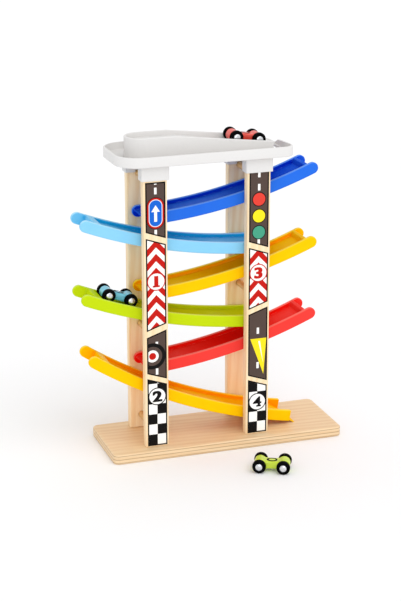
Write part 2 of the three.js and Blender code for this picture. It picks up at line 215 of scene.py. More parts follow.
def pillow(name, outline, low, high, edge, point=plan_point, steps=4, support=0.5):
    """A slab of the outline between two levels, with rounded edges on both faces."""
    profile = [(edge + support, low)]
    for i in range(steps + 1):
        angle = QUARTER * i / steps
        profile.append((edge * (1 - math.sin(angle)), low + edge * (1 - math.cos(angle))))
    upper = [(inset, high + low - level) for inset, level in reversed(profile)]
    rings = []
    for inset, level in profile + upper:
        rings.append([point(u - inset * nu, v - inset * nv, level) for u, v, nu, nv in outline])
    return from_rings(name, rings)


CUTTER_EDGE = 0.05
CUTTER_SUPPORT = 0.1


def cutter(name, outline, low, high, point=side_point):
    """A slab whose edges are all but sharp, to cut others with."""
    return pillow(name, outline, low, high, CUTTER_EDGE, point, 1, CUTTER_SUPPORT)


def block(name, x0, x1, y0, y1, z0, z1):
    return prism(name, [(x0, y0), (x1, y0), (x1, y1), (x0, y1)], z0, z1)


def turned(name, profile, segments=48):
    """A solid of revolution about the Y axis, from (radius, y) points. The profile may close on itself."""
    rings = []
    for radius, y in profile:
        ring = []
        for i in range(segments):
            angle = 4 * QUARTER * i / segments
            ring.append((radius * math.cos(angle), y, radius * math.sin(angle)))
        rings.append(ring)
    hollow = profile[0][0] > 0
    return from_rings(name, rings, capped=False, closed=hollow)


# Shader helpers and the effects that several finishes share

COLOUR = "NodeSocketColor"
NUMBER = "NodeSocketFloat"
VECTOR = "NodeSocketVector"


def feed(tree, target, inputs):
    """Links sockets to a node's inputs, and sets the inputs that are given plain values."""
    for key, value in inputs.items():
        if isinstance(value, bpy.types.NodeSocket):
            tree.links.new(value, target.inputs[key])
        else:
            target.inputs[key].default_value = value
    return target


def node(tree, kind, inputs=None, **settings):
    made = tree.nodes.new(kind)
    for key, value in settings.items():
        setattr(made, key, value)
    return feed(tree, made, inputs or {})


def new_tree(name, kind, inputs, outputs):
    """An empty node group with named sockets: returns the group, what it is given and its end node."""
    group = bpy.data.node_groups.new(name, kind)
    for in_out, sockets in (("INPUT", inputs), ("OUTPUT", outputs)):
        for socket, socket_type in sockets.items():
            group.interface.new_socket(socket, in_out=in_out, socket_type=socket_type)
    given = group.nodes.new("NodeGroupInput").outputs
    return group, given, group.nodes.new("NodeGroupOutput")


def math_node(tree, operation, a, b=0.0):
    return node(tree, "ShaderNodeMath", {0: a, 1: b}, operation=operation).outputs[0]


def spread(tree, value, low, high, start=0.0, end=1.0):
    """Maps a value from one range to another."""
    ranges = {"Value": value, "From Min": start, "From Max": end, "To Min": low, "To Max": high}
    return node(tree, "ShaderNodeMapRange", ranges).outputs[0]


def blended(tree, share, one, two):
    return node(tree, "ShaderNodeMix", {0: share, 6: one, 7: two}, data_type="RGBA").outputs[2]


def noise(tree, where, scale, detail=2.0):
    inputs = {"Vector": where, "Scale": scale, "Detail": detail}
    return node(tree, "ShaderNodeTexNoise", inputs).outputs["Fac"]


def stretched(tree, where, scale):
    return node(tree, "ShaderNodeMapping", {"Vector": where, "Scale": scale}).outputs[0]


def along_axis(tree, vector, axis):
    return node(tree, "ShaderNodeSeparateXYZ", {"Vector": vector}).outputs[axis]


def make_edge_wear_and_highlight():
    """A mask that is strong along the edges of a piece, broken up by noise: it carries wear on wood and a
    painted highlight on plastic.
    """
    group, given, result = new_tree(
        "edge_rub",
        "ShaderNodeTree",
        {"Vector": VECTOR, "Width": NUMBER},
        {"Mask": NUMBER},
    )
    rounded = node(group, "ShaderNodeBevel", {"Radius": given["Width"]}, samples=4).outputs["Normal"]
    plain = node(group, "ShaderNodeNewGeometry").outputs["Normal"]
    meet = node(group, "ShaderNodeVectorMath", {0: rounded, 1: plain}, operation="DOT_PRODUCT")
    turn = spread(group, meet.outputs["Value"], 1.0, 0.0, 0.8, 0.99)
    broken = spread(group, noise(group, given["Vector"], 160.0), 0.0, 1.0, 0.35, 0.65)
    feed(group, result, {"Mask": math_node(group, "MULTIPLY", turn, broken)})
    return group


def make_wood_figure():
    """Pale softwood: broad growth bands and fine fibres, along the X of the vector that it is given."""
    group, given, result = new_tree(
        "wood_figure",
        "ShaderNodeTree",
        {"Vector": VECTOR, "Pale": COLOUR, "Dark": COLOUR, "Fibre": COLOUR},
        {"Color": COLOUR, "Roughness": NUMBER, "Height": NUMBER},
    )
    along = stretched(group, given["Vector"], (2.2, 34.0, 34.0))
    bands = node(
        group,
        "ShaderNodeTexWave",
        {"Vector": along, "Scale": 1.6, "Distortion": 5.0, "Detail": 2.0, "Detail Scale": 0.8},
        wave_type="BANDS",
        bands_direction="DIAGONAL",
    ).outputs["Fac"]
    figure = math_node(group, "MULTIPLY", bands, noise(group, along, 1.1, 3.0))
    fibres = noise(group, stretched(group, given["Vector"], (26.0, 900.0, 900.0)), 1.0, 4.0)
    ground = blended(group, spread(group, figure, 0.0, 1.0, 0.1, 0.75), given["Pale"], given["Dark"])
    strands = spread(group, fibres, 0.0, 0.55, 0.52, 0.78)
    feed(group, result, {
        "Color": blended(group, strands, ground, given["Fibre"]),
        "Roughness": spread(group, fibres, 0.48, 0.66),
        "Height": math_node(group, "ADD", fibres, figure),
    })
    return group


def make_moulded_skin():
    """Moulded plastic: a painted shade, a deeper colour, in the hollows of its channel, and a painted
    highlight, a paler colour, on its upward faces outside the channel, with clouding, grain and scuffs.
    """
    colours = {"Colour": COLOUR, "Painted Shade": COLOUR, "Painted Highlight": COLOUR}
    group, given, result = new_tree(
        "moulded_skin",
        "ShaderNodeTree",
        {"Vector": VECTOR, **colours, "Channel": NUMBER, "Gloss": NUMBER},
        {"Color": COLOUR, "Roughness": NUMBER, "Specular": NUMBER, "Height": NUMBER},
    )
    where = given["Vector"]
    off_middle = math_node(group, "ABSOLUTE", along_axis(group, where, "Y"))
    within = math_node(group, "LESS_THAN", off_middle, given["Channel"])
    open_sky = node(group, "ShaderNodeAmbientOcclusion", {"Distance": 0.06}, samples=8).outputs["AO"]
    # painted shade: inside the channel, the hollows that ambient occlusion finds turn to the deeper colour
    hollow = math_node(group, "MULTIPLY", spread(group, open_sky, 0.97, 0.15, 0.5, 1.0), within)
    facing = node(group, "ShaderNodeNewGeometry").outputs["Normal"]
    # painted highlight: outside the channel, faces that look upward turn to the paler colour
    level = spread(group, along_axis(group, facing, "Z"), 0.0, 0.75, 0.3, 0.85)
    painted_highlight_share = math_node(group, "MULTIPLY", level, math_node(group, "SUBTRACT", 1.0, within))
    cloudy = spread(group, noise(group, where, 22.0, 3.0), 0.0, 0.12, 0.35, 0.75)
    shaded_and_clouded = blended(group, math_node(group, "ADD", hollow, cloudy), given["Colour"], given["Painted Shade"])
    scuffs = noise(group, stretched(group, where, (60.0, 1500.0, 1500.0)), 1.0)
    worn = spread(group, scuffs, 0.0, 0.10, 0.60, 0.75)
    feed(group, result, {
        "Color": blended(group, painted_highlight_share, shaded_and_clouded, given["Painted Highlight"]),
        "Roughness": math_node(group, "ADD", given["Gloss"], worn),
        "Specular": spread(group, hollow, 0.02, 0.0, 0.15, 0.4),
        "Height": noise(group, where, 1400.0),
    })
    return group


EDGE_WEAR_AND_HIGHLIGHT = make_edge_wear_and_highlight()
WOOD_FIGURE = make_wood_figure()
MOULDED_SKIN = make_moulded_skin()


def rgb(red, green, blue):
    """A colour as it is read off a screen, in linear light."""
    def linear(level):
        share = level / 255
        return share / 12.92 if share <= 0.04045 else ((share + 0.055) / 1.055) ** 2.4
    return (linear(red), linear(green), linear(blue), 1.0)


def new_finish(name):
    material = bpy.data.materials.new(name)
    material.use_nodes = True
    tree = material.node_tree
    where = node(tree, "ShaderNodeTexCoord").outputs["Object"]
    return material, tree, tree.nodes["Principled BSDF"], where


def effect(tree, group, inputs):
    return node(tree, "ShaderNodeGroup", inputs, node_tree=group).outputs


def bumped(tree, height, strength, distance):
    inputs = {"Height": height, "Strength": strength, "Distance": distance}
    return node(tree, "ShaderNodeBump", inputs).outputs["Normal"]


def with_edge_wear_and_highlight(tree, where, colour, edge_colour, width):
    """The colour blended to another along its edges: wear on wood, a painted highlight on plastic, a
    lighter band on the paint of the cars.
    """
    edges = effect(tree, EDGE_WEAR_AND_HIGHLIGHT, {"Vector": where, "Width": width * MM})
    return blended(tree, edges["Mask"], colour, edge_colour)


PLY_STEP = BASE_HEIGHT / 3  # between the glue lines of plywood
PLY_LINES = rgb(160, 124, 88)
WOOD_RUB = 1.2  # width of the rubbed edges
# width of the painted highlight along the edges of plastic
PLASTIC_EDGE_HIGHLIGHT = 1.0
# width of the lighter band along the edges of the paint
PAINT_EDGE_BAND = 0.8


def ply_mask(tree, where):
    """Thin level lines where the plies of a board meet."""
    layer = math_node(tree, "DIVIDE", along_axis(tree, where, "Z"), PLY_STEP * MM)
    off_line = math_node(tree, "SUBTRACT", math_node(tree, "FRACT", layer), 0.5)
    return spread(tree, math_node(tree, "ABSOLUTE", off_line), 0.75, 0.0, 0.06, 0.15)


def wood_finish(name, turn, pale, dark, fibre, edge, glue_line=None):
    """Lacquered softwood. The turn brings the grain along the piece."""
    material, tree, shader, where = new_finish(name)
    along = node(tree, "ShaderNodeMapping", {"Vector": where, "Rotation": turn}).outputs[0]
    figure = effect(tree, WOOD_FIGURE, {"Vector": along, "Pale": pale, "Dark": dark, "Fibre": fibre})
    colour = with_edge_wear_and_highlight(tree, where, figure["Color"], edge, WOOD_RUB)
    if glue_line:
        colour = blended(tree, ply_mask(tree, where), colour, glue_line)
    feed(tree, shader, {
        "Base Color": colour,
        "Roughness": figure["Roughness"],
        "Normal": bumped(tree, figure["Height"], 0.12, 0.0002),
        "Coat Weight": 0.12,
        "Coat Roughness": 0.35,
    })
    return material


WHOLE_PIECE = 1.0  # wider than any piece, so that all of it counts as channel
TRACK_CHANNEL = (CHANNEL_HALF + 0.4) * MM


def plastic_finish(name, colour, deep, edge, gloss=0.34, channel=TRACK_CHANNEL):
    """Moulded plastic. Its deep colour is a painted shade in the hollows of the channel only; its edge
    colour is a painted highlight on its upward faces outside the channel and along its edges.
    """
    material, tree, shader, where = new_finish(name)
    colours = {"Colour": colour, "Painted Shade": deep, "Painted Highlight": edge}
    skin = effect(tree, MOULDED_SKIN, {"Vector": where, **colours, "Channel": channel, "Gloss": gloss})
    feed(tree, shader, {
        # the edges take the paler edge colour, a painted highlight
        "Base Color": with_edge_wear_and_highlight(tree, where, skin["Color"], edge, PLASTIC_EDGE_HIGHLIGHT),
        "Roughness": skin["Roughness"],
        "Specular IOR Level": skin["Specular"],
        "Normal": bumped(tree, skin["Height"], 0.06, 0.0001),
    })
    return material


def paint_finish(name, colour, deep, edge):
    """Lacquer on a small wooden body: the grain shows faintly through the gloss."""
    material, tree, shader, where = new_finish(name)
    figure = effect(tree, WOOD_FIGURE, {"Vector": where, "Pale": colour, "Dark": deep, "Fibre": deep})
    feed(tree, shader, {
        "Base Color": with_edge_wear_and_highlight(tree, where, figure["Color"], edge, PAINT_EDGE_BAND),
        "Roughness": spread(tree, figure["Roughness"], 0.28, 0.42, 0.48, 0.66),
        "Normal": bumped(tree, figure["Height"], 0.05, 0.0001),
        "Coat Weight": 0.4,
        "Coat Roughness": 0.12,
    })
    return material


def steel_finish(name):
    """Bright nickel-plated steel with faint turning marks."""
    material, tree, shader, where = new_finish(name)
    marks = noise(tree, where, 700.0, 3.0)
    dulled = spread(tree, marks, 0.0, 1.0, 0.35, 0.7)
    feed(tree, shader, {
        "Base Color": blended(tree, dulled, rgb(226, 228, 231), rgb(196, 198, 202)),
        "Roughness": spread(tree, marks, 0.14, 0.34, 0.3, 0.7),
        "Normal": bumped(tree, marks, 0.05, 0.0001),
        "Metallic": 1.0,
    })
    return material


def ink_finish(name, colour):
    """Screen-printed ink: a little uneven, with tiny pinholes of a lighter tone."""
    material, tree, shader, where = new_finish(name)
    uneven = noise(tree, where, 90.0, 4.0)
    pinholes = noise(tree, where, 1800.0, 1.0)
    light = tuple(min(1.0, level * 1.25 + 0.02) for level in colour[:3]) + (1.0,)
    specks = math_node(
        tree,
        "MULTIPLY",
        spread(tree, pinholes, 0.0, 1.0, 0.62, 0.75),
        spread(tree, uneven, 0.2, 0.9, 0.3, 0.7),
    )
    feed(tree, shader, {
        "Base Color": blended(tree, specks, colour, light),
        "Roughness": spread(tree, uneven, 0.38, 0.55, 0.3, 0.7),
        "Normal": bumped(tree, pinholes, 0.05, 0.00005),
        "Specular IOR Level": 0.1,
    })
    return material


# Colours: of wood pale, dark, fibre and edge; of plastic the skin, the painted shade in its hollows and
# the painted highlight on its crests and edges; of paint the skin, its grain and its lighter edges

ALONG_X = (0.0, 0.0, 0.0)
ALONG_Y = (0.0, 0.0, QUARTER)
ALONG_Z = (0.0, QUARTER, 0.0)
PLANK_COLOURS = (rgb(249, 226, 188), rgb(240, 206, 157), rgb(233, 195, 145), rgb(252, 236, 208))
BASE_COLOURS = (rgb(234, 206, 165), rgb(224, 189, 143), rgb(214, 175, 127), rgb(246, 228, 198))
DOWEL_COLOURS = (rgb(226, 184, 124), rgb(205, 157, 96), rgb(190, 142, 86), rgb(236, 202, 150))
# skin, painted shade in the hollows, painted highlight along the edges
TRAY_COLOURS = (rgb(226, 225, 224), rgb(218, 216, 214), rgb(238, 238, 237))
WHEEL_COLOURS = (rgb(12, 12, 13), rgb(8, 8, 9), rgb(34, 34, 36))
# skin, painted shade in the hollows of the channel, painted highlight on the upward faces and along the
# edges
TRACK_COLOURS = {
    "blue": (rgb(44, 112, 228), rgb(0, 46, 196), rgb(110, 160, 244)),
    "light_blue": (rgb(142, 208, 244), rgb(24, 164, 220), rgb(184, 228, 250)),
    "yellow": (rgb(250, 200, 6), rgb(255, 158, 0), rgb(255, 220, 80)),
    "green": (rgb(192, 216, 22), rgb(190, 208, 10), rgb(212, 232, 90)),
    "red": (rgb(238, 66, 60), rgb(238, 20, 10), rgb(248, 122, 114)),
}
CAR_COLOURS = {
    "red": (rgb(230, 66, 44), rgb(208, 50, 34), rgb(240, 112, 88)),
    "blue": (rgb(112, 202, 226), rgb(90, 182, 210), rgb(160, 222, 238)),
    "green": (rgb(200, 222, 32), rgb(180, 206, 22), rgb(220, 236, 100)),
}
INK_COLOURS = {
    "white": rgb(250, 249, 246),
    "black": rgb(12, 10, 10),
    "red": rgb(194, 24, 14),
    "lamp_red": rgb(224, 66, 54),
    "road": rgb(83, 68, 62),
    "blue": rgb(20, 100, 208),
    "yellow": rgb(250, 226, 34),
    "green": rgb(70, 158, 128),
}
TRAY_GLOSS = 0.42
WHEEL_GLOSS = 0.3

plank_wood = wood_finish("plank_wood", ALONG_Z, *PLANK_COLOURS)
base_wood = wood_finish("base_wood", ALONG_X, *BASE_COLOURS, PLY_LINES)
dowel_wood = wood_finish("dowel_wood", ALONG_Y, *DOWEL_COLOURS)
tray_plastic = plastic_finish("tray_plastic", *TRAY_COLOURS, TRAY_GLOSS, WHOLE_PIECE)
track_plastics = {key: plastic_finish(f"{key}_plastic", *three) for key, three in TRACK_COLOURS.items()}
car_paints = {key: paint_finish(f"{key}_paint", *three) for key, three in CAR_COLOURS.items()}
black_plastic = plastic_finish("wheel_black", *WHEEL_COLOURS, WHEEL_GLOSS, WHOLE_PIECE)
steel = steel_finish("plated_steel")
inks = {key: ink_finish(f"ink_{key}", colour) for key, colour in INK_COLOURS.items()}


# Tracks: arcs about their own centres, each from a low end to a high end

LEVEL_STEP = 55.2
LOWEST_LOW = 118.6
RIGHT_RISING = (-119, 143)  # x of the low end and of the high end
LEFT_RISING = (66, -208)
EXIT_ENDS = (107, -198.7)
EXIT_LOW = BASE_HEIGHT + 3.9
EXIT_SLOPE = 9
STOP_ON_RIGHT = (13, 24)  # from the high end to the two faces of the stop
STOP_ON_LEFT = (19, 30)
STOP_ROUND = 1.2
STOP_LEAN = 7  # of the inner face, from the foot of the floor to the top
LOW_END_SETBACK = 3
WALL_EDGE = 1.7
SQUARE_END_ROUND = WALL_EDGE + 0.3
FLOOR_ROUND = 0.3
INNER_EDGE = 0.2  # of what joins the walls, with a narrow support loop
INNER_SUPPORT = 0.05
PEG_EDGE = 0.4
PEG_RADIUS = 3
PEG_DEPTH = 6
BOSS_RADIUS = 6.5
TONGUE_RUN = 30
TONGUE_REACH = 8
TONGUE_THICKNESS = 2.2
TONGUE_LIP = 0.6


class Track:
    def __init__(self, node_name, plastic, low_x, high_x, low_z, low_slope):
        self.node_name = node_name
        self.plastic = plastic
        self.low_x = low_x
        self.high_x = high_x
        tilt = math.radians(low_slope)
        rise = math.copysign(1, high_x - low_x)
        self.centre_x = low_x - rise * TRACK_RADIUS * math.sin(tilt)
        self.centre_z = low_z + TRACK_RADIUS * math.cos(tilt)

    def angle_at(self, x, height):
        return math.asin((x - self.centre_x) / (TRACK_RADIUS - height))

    def point_at(self, x, height):
        angle = self.angle_at(x, height)
        radius = TRACK_RADIUS - height
        return self.centre_x + radius * math.sin(angle), self.centre_z - radius * math.cos(angle)

    def bent(self, outline):
        """Bends an outline of (distance along the underside, height) round the arc."""
        points = []
        for along, height, normal_along, normal_up in outline:
            angle = along / TRACK_RADIUS
            radius = TRACK_RADIUS - height
            points.append((
                self.centre_x + radius * math.sin(angle),
                self.centre_z - radius * math.cos(angle),
                normal_along * math.cos(angle) - normal_up * math.sin(angle),
                normal_along * math.sin(angle) + normal_up * math.cos(angle),
            ))
        return points

    def band(self, x_from, x_to, bottom, top, corner, lean=0):
        """A length of the side view. The top of its far end can lean back towards the near end."""
        middle = (bottom + top) / 2
        near = TRACK_RADIUS * self.angle_at(x_from, middle)
        far = TRACK_RADIUS * self.angle_at(x_to, middle)
        outline = rounded_rectangle(min(near, far), bottom, max(near, far), top, corner, 10)
        leaning = []
        for along, height, *normal in refined(outline, 6):
            share = (along - near) / (far - near) * (height - bottom) / (top - bottom)
            leaning.append((along + math.copysign(lean, near - far) * share, height, *normal))
        return self.bent(leaning)


def zigzag(node_name, plastic, level, low_slope):
    low_x, high_x = RIGHT_RISING if level % 2 == 0 else LEFT_RISING
    return Track(node_name, plastic, low_x, high_x, LOWEST_LOW + level * LEVEL_STEP, low_slope)


tracks = [
    zigzag("track_1_blue", "blue", 4, 1.9),
    zigzag("track_2_light_blue", "light_blue", 3, 0.7),
    zigzag("track_3_yellow", "yellow", 2, 2.1),
    zigzag("track_4_green", "green", 1, 1.3),
    zigzag("track_5_red", "red", 0, 2.6),
    Track("track_6_exit", "yellow", *EXIT_ENDS, EXIT_LOW, EXIT_SLOPE),
]
yellow_track, green_track, exit_track = tracks[2], tracks[3], tracks[5]


def exit_tongue(track):
    """The tongue that leads from the last floor down to the base."""
    start_x = track.low_x + TONGUE_REACH - TONGUE_RUN
    x, z = track.point_at(start_x, TRACK_FLOOR_TOP)
    tip = track.low_x + TONGUE_REACH
    foot = BASE_HEIGHT + GAP
    side_view = [
        (x, z - TONGUE_THICKNESS),
        (tip - TONGUE_THICKNESS, foot),
        (tip, foot),
        (tip, foot + TONGUE_LIP),
        (x, z),
    ]
    half = CHANNEL_HALF + BITE
    return prism("tongue", side_view, -half, half, side_point)


def wall_slab(name, outline, side):
    """One wall of a track, on the side that the sign gives."""
    low, high = sorted((side * CHANNEL_HALF, side * TRACK_HALF))
    return pillow(name, outline, low, high, WALL_EDGE, side_point)


def build_track(track):
    rises_right = track.high_x > track.low_x
    inward = -1 if rises_right else 1
    stop_from, stop_to = STOP_ON_RIGHT if rises_right else STOP_ON_LEFT
    stop_outer = track.high_x + inward * stop_from
    stop_inner = track.high_x + inward * stop_to
    setback = TONGUE_RUN - TONGUE_REACH if track is exit_track else LOW_END_SETBACK
    floor_low = track.low_x - inward * setback
    floor_bottom = TRACK_FLOOR_TOP - TRACK_FLOOR_THICKNESS
    lean = STOP_LEAN if rises_right else 0
    wall = track.band(track.low_x, track.high_x, 0, TRACK_HEIGHT, TRACK_HEIGHT / 2)
    floor = track.band(floor_low, stop_outer, floor_bottom, TRACK_FLOOR_TOP, FLOOR_ROUND)
    stop = track.band(stop_outer, stop_inner, floor_bottom, TRACK_HEIGHT, STOP_ROUND, lean)
    half = CHANNEL_HALF + BITE
    body = wall_slab(f"{track.node_name}_moulding", wall, -1)
    others = [wall_slab("rear_wall", wall, 1)]
    for name, outline in (("floor", floor), ("stop", stop)):
        others.append(pillow(name, outline, -half, half, INNER_EDGE, side_point, 1, INNER_SUPPORT))
    if track is exit_track:
        square = track.band(track.low_x - TRACK_HEIGHT, track.low_x, 0, TRACK_HEIGHT, SQUARE_END_ROUND)
        others.append(wall_slab("front_end", square, -1))
        others.append(wall_slab("rear_end", square, 1))
        others.append(exit_tongue(track))
    for tower in TOWER_X.values():
        x, z = track.point_at(tower, TRACK_HEIGHT / 2)
        for side in (-1, 1):
            root = side * (TRACK_HALF - WALL_EDGE - BITE)
            face = side * (PLANK_INNER_Y - GAP)
            tip = side * (PLANK_INNER_Y + PEG_DEPTH)
            for radius, end in ((BOSS_RADIUS, face), (PEG_RADIUS, tip)):
                low, high = sorted((root, end))
                others.append(pillow("peg", circle(x, z, radius), low, high, PEG_EDGE, side_point, 2))
    combine(body, others, "UNION")
    slot = f"{track.plastic}_plastic"
    finish_piece(body, track_plastics[track.plastic], "frame", slot, track.node_name)


for track in tracks:
    build_track(track)


# Planks, dowels, base board and screws

PLANK_CORNER = 1.6
PLANK_EDGE = 0.5
DOWEL_RADIUS = 4.8
DOWEL_DEPTH = 7
DOWEL_EDGE = 0.6
TOP_DOWEL = DECK_BOTTOM - 27
DOWEL_HEIGHTS = {
    "left": {
        "top": TOP_DOWEL,
        "middle": green_track.point_at(TOWER_X["left"], TRACK_HEIGHT / 2)[1] - 29,
        "low": BASE_HEIGHT + 20,
    },
    "right": {
        "top": TOP_DOWEL,
        "middle": yellow_track.point_at(TOWER_X["right"], TRACK_HEIGHT / 2)[1] - 39,
    },
}


def drilled(name, x, z, radius, side, depth):
    """A blind hole into the inner face of a plank."""
    mouth = side * (PLANK_INNER_Y - BITE)
    end = side * (PLANK_INNER_Y + depth + GAP)
    return cutter(name, circle(x, z, radius + GAP), *sorted((mouth, end)))


def build_plank(tower_name, side_name):
    x = TOWER_X[tower_name]
    side = PLANK_SIDES[side_name]
    near = PLANK_INNER_Y if side > 0 else -PLANK_OUTER_Y
    outline = rounded_rectangle(
        x - PLANK_WIDTH / 2, near, x + PLANK_WIDTH / 2, near + PLANK_THICKNESS, PLANK_CORNER
    )
    node_name = f"plank_{side_name}_{tower_name}"
    plank = pillow(f"{node_name}_board", outline, BASE_HEIGHT + GAP, DECK_BOTTOM - GAP, PLANK_EDGE)
    holes = []
    for track in tracks:
        peg_x, peg_z = track.point_at(x, TRACK_HEIGHT / 2)
        holes.append(drilled("peg_hole", peg_x, peg_z, PEG_RADIUS, side, PEG_DEPTH))
    for height in DOWEL_HEIGHTS[tower_name].values():
        holes.append(drilled("dowel_hole", x, height, DOWEL_RADIUS, side, DOWEL_DEPTH))
    combine(plank, holes, "DIFFERENCE")
    finish_piece(plank, plank_wood, "frame", "pale_wood", node_name)


for tower_name, heights in DOWEL_HEIGHTS.items():
    for side_name in PLANK_SIDES:
        build_plank(tower_name, side_name)
    for level_name, height in heights.items():
        reach = PLANK_INNER_Y + DOWEL_DEPTH
        dowel_name = f"dowel_{tower_name}_{level_name}"
        outline = circle(TOWER_X[tower_name], height, DOWEL_RADIUS)
        rod = pillow(f"{dowel_name}_rod", outline, -reach, reach, DOWEL_EDGE, side_point)
        finish_piece(rod, dowel_wood, "frame", "dowel_wood", dowel_name)

SCREW_HEAD_RADIUS = 4.2
SCREW_HEAD_HEIGHT = 3
SCREW_SHANK_RADIUS = 1.8
SCREW_LENGTH = BASE_HEIGHT + 14
SCREW_RECESS = 1
SCREW_POINT = 6
TOWER_MIDDLE = (TOWER_X["left"] + TOWER_X["right"]) / 2
TOWER_SPACING = TOWER_X["right"] - TOWER_X["left"]
PLANK_MIDDLE_Y = PLANK_INNER_Y + PLANK_THICKNESS / 2
PLANK_SPOTS = [(x, y) for x in TOWER_X.values() for y in (-PLANK_MIDDLE_Y, PLANK_MIDDLE_Y)]


def build_base():
    outline = rounded_rectangle(
        -BASE_LENGTH / 2, -BASE_DEPTH / 2, BASE_LENGTH / 2, BASE_DEPTH / 2, BASE_CORNER, 10
    )
    board = pillow("base_board_panel", outline, 0, BASE_HEIGHT, BASE_EDGE, steps=6)
    sink_profile = [
        (0, -PAST),
        (SCREW_HEAD_RADIUS + GAP, -PAST),
        (SCREW_HEAD_RADIUS + GAP, SCREW_RECESS),
        (SCREW_SHANK_RADIUS + GAP, SCREW_RECESS + SCREW_HEAD_HEIGHT),
        (SCREW_SHANK_RADIUS + GAP, BASE_HEIGHT + PAST),
        (0, BASE_HEIGHT + PAST),
    ]
    sinks = []
    for x, y in PLANK_SPOTS:
        upright = Matrix.Translation((x, y, 0)) @ Matrix.Rotation(QUARTER, 4, "X")
        sinks.append(place(turned("sink", sink_profile, 32), upright))
    combine(board, sinks, "DIFFERENCE")
    finish_piece(board, base_wood, "frame", "pale_wood", "base_board")


build_base()


# Node trees that repeat a small shape

MATERIAL = "NodeSocketMaterial"
GEOMETRY = "NodeSocketGeometry"
SLOT_LENGTH = 4.6
SLOT_WIDTH = 0.9
SLOT_HEIGHT = 2.4  # half of it lies in the screw's head
SCREW_TIP_RADIUS = 0.1
SCREW_TIP_SETBACK = 1


def end_tree(tree, given, result, points, shape):
    """Puts the shape on each point, makes it real and gives it its finish."""
    spots = node(tree, "GeometryNodeInstanceOnPoints", {"Points": points, "Instance": shape})
    real = node(tree, "GeometryNodeRealizeInstances", {"Geometry": spots.outputs[0]})
    dressing = {"Geometry": real.outputs[0], "Material": given["Material"]}
    feed(tree, result, {"Geometry": node(tree, "GeometryNodeSetMaterial", dressing).outputs[0]})
    return tree


def grow(name, tree, values):
    """Runs a tree with the given inputs and keeps the result as a plain mesh."""
    made = link_object(name, bpy.data.meshes.new(name))
    modifier = made.modifiers.new(tree.name, "NODES")
    modifier.node_group = tree
    for item in tree.interface.items_tree:
        if item.in_out == "INPUT" and item.name in values:
            modifier[item.identifier] = values[item.name]
    bake_modifiers(made)
    return made


def make_mark_rows():
    """Flat printed marks in a row."""
    tree, given, result = new_tree(
        "printed_marks",
        "GeometryNodeTree",
        {"Count": "NodeSocketInt", "Start": VECTOR, "Step": VECTOR, "Size": VECTOR, "Material": MATERIAL},
        {"Geometry": GEOMETRY},
    )
    row = node(tree, "GeometryNodeMeshLine", {
        "Count": given["Count"],
        "Start Location": given["Start"],
        "Offset": given["Step"],
    })
    mark = node(tree, "GeometryNodeMeshCube", {"Size": given["Size"]})
    return end_tree(tree, given, result, row.outputs["Mesh"], mark.outputs["Mesh"])


def make_screw_set():
    """Countersunk screws with a cross slot, one on each corner of a rectangle."""
    tree, given, result = new_tree(
        "base_screws",
        "GeometryNodeTree",
        {"Spacing X": NUMBER, "Spacing Y": NUMBER, "Material": MATERIAL},
        {"Geometry": GEOMETRY},
    )
    corners = node(tree, "GeometryNodeMeshGrid", {
        "Size X": given["Spacing X"],
        "Size Y": given["Spacing Y"],
        "Vertices X": 2,
        "Vertices Y": 2,
    })

    def lifted(kind, inputs, height):
        shape = node(tree, kind, inputs).outputs["Mesh"]
        move = {"Geometry": shape, "Translation": (0, 0, height * MM)}
        return node(tree, "GeometryNodeTransform", move).outputs[0]

    def cone(low_radius, high_radius, low, high):
        radii = {"Radius Bottom": low_radius * MM, "Radius Top": high_radius * MM}
        return lifted("GeometryNodeMeshCone", {"Vertices": 28, **radii, "Depth": (high - low) * MM}, low)

    def slot_bar(size_x, size_y):
        size = (size_x * MM, size_y * MM, SLOT_HEIGHT * MM)
        return lifted("GeometryNodeMeshCube", {"Size": size}, SCREW_RECESS)

    neck = SCREW_RECESS + SCREW_HEAD_HEIGHT
    shank_end = SCREW_LENGTH - SCREW_POINT
    blank = cone(SCREW_HEAD_RADIUS, SCREW_SHANK_RADIUS, SCREW_RECESS, neck)
    head = node(tree, "GeometryNodeMeshBoolean", operation="DIFFERENCE")
    tree.links.new(blank, head.inputs["Mesh 1"])
    for bar in (slot_bar(SLOT_LENGTH, SLOT_WIDTH), slot_bar(SLOT_WIDTH, SLOT_LENGTH)):
        tree.links.new(bar, head.inputs["Mesh 2"])
    screw = node(tree, "GeometryNodeJoinGeometry")
    shank = cone(SCREW_SHANK_RADIUS, SCREW_SHANK_RADIUS, neck, shank_end)
    tip = cone(SCREW_SHANK_RADIUS, SCREW_TIP_RADIUS, shank_end, SCREW_LENGTH - SCREW_TIP_SETBACK)
    for shape in (tip, shank, head.outputs["Mesh"]):
        tree.links.new(shape, screw.inputs["Geometry"])
    return end_tree(tree, given, result, corners.outputs["Mesh"], screw.outputs[0])


MARK_ROWS = make_mark_rows()

screws = grow(
    "base_screw_set",
    make_screw_set(),
    {"Spacing X": TOWER_SPACING * MM, "Spacing Y": 2 * PLANK_MIDDLE_Y * MM, "Material": steel},
)
place(screws, Matrix.Translation((TOWER_MIDDLE, 0, 0)))
screw_nodes = [f"base_screw_{side}_{tower}" for side in PLANK_SIDES for tower in TOWER_X]
finish_piece(screws, steel, "frame", "steel", *screw_nodes)


# Launch tray: a rimmed deck, plank sockets below and a ramp with a trough above

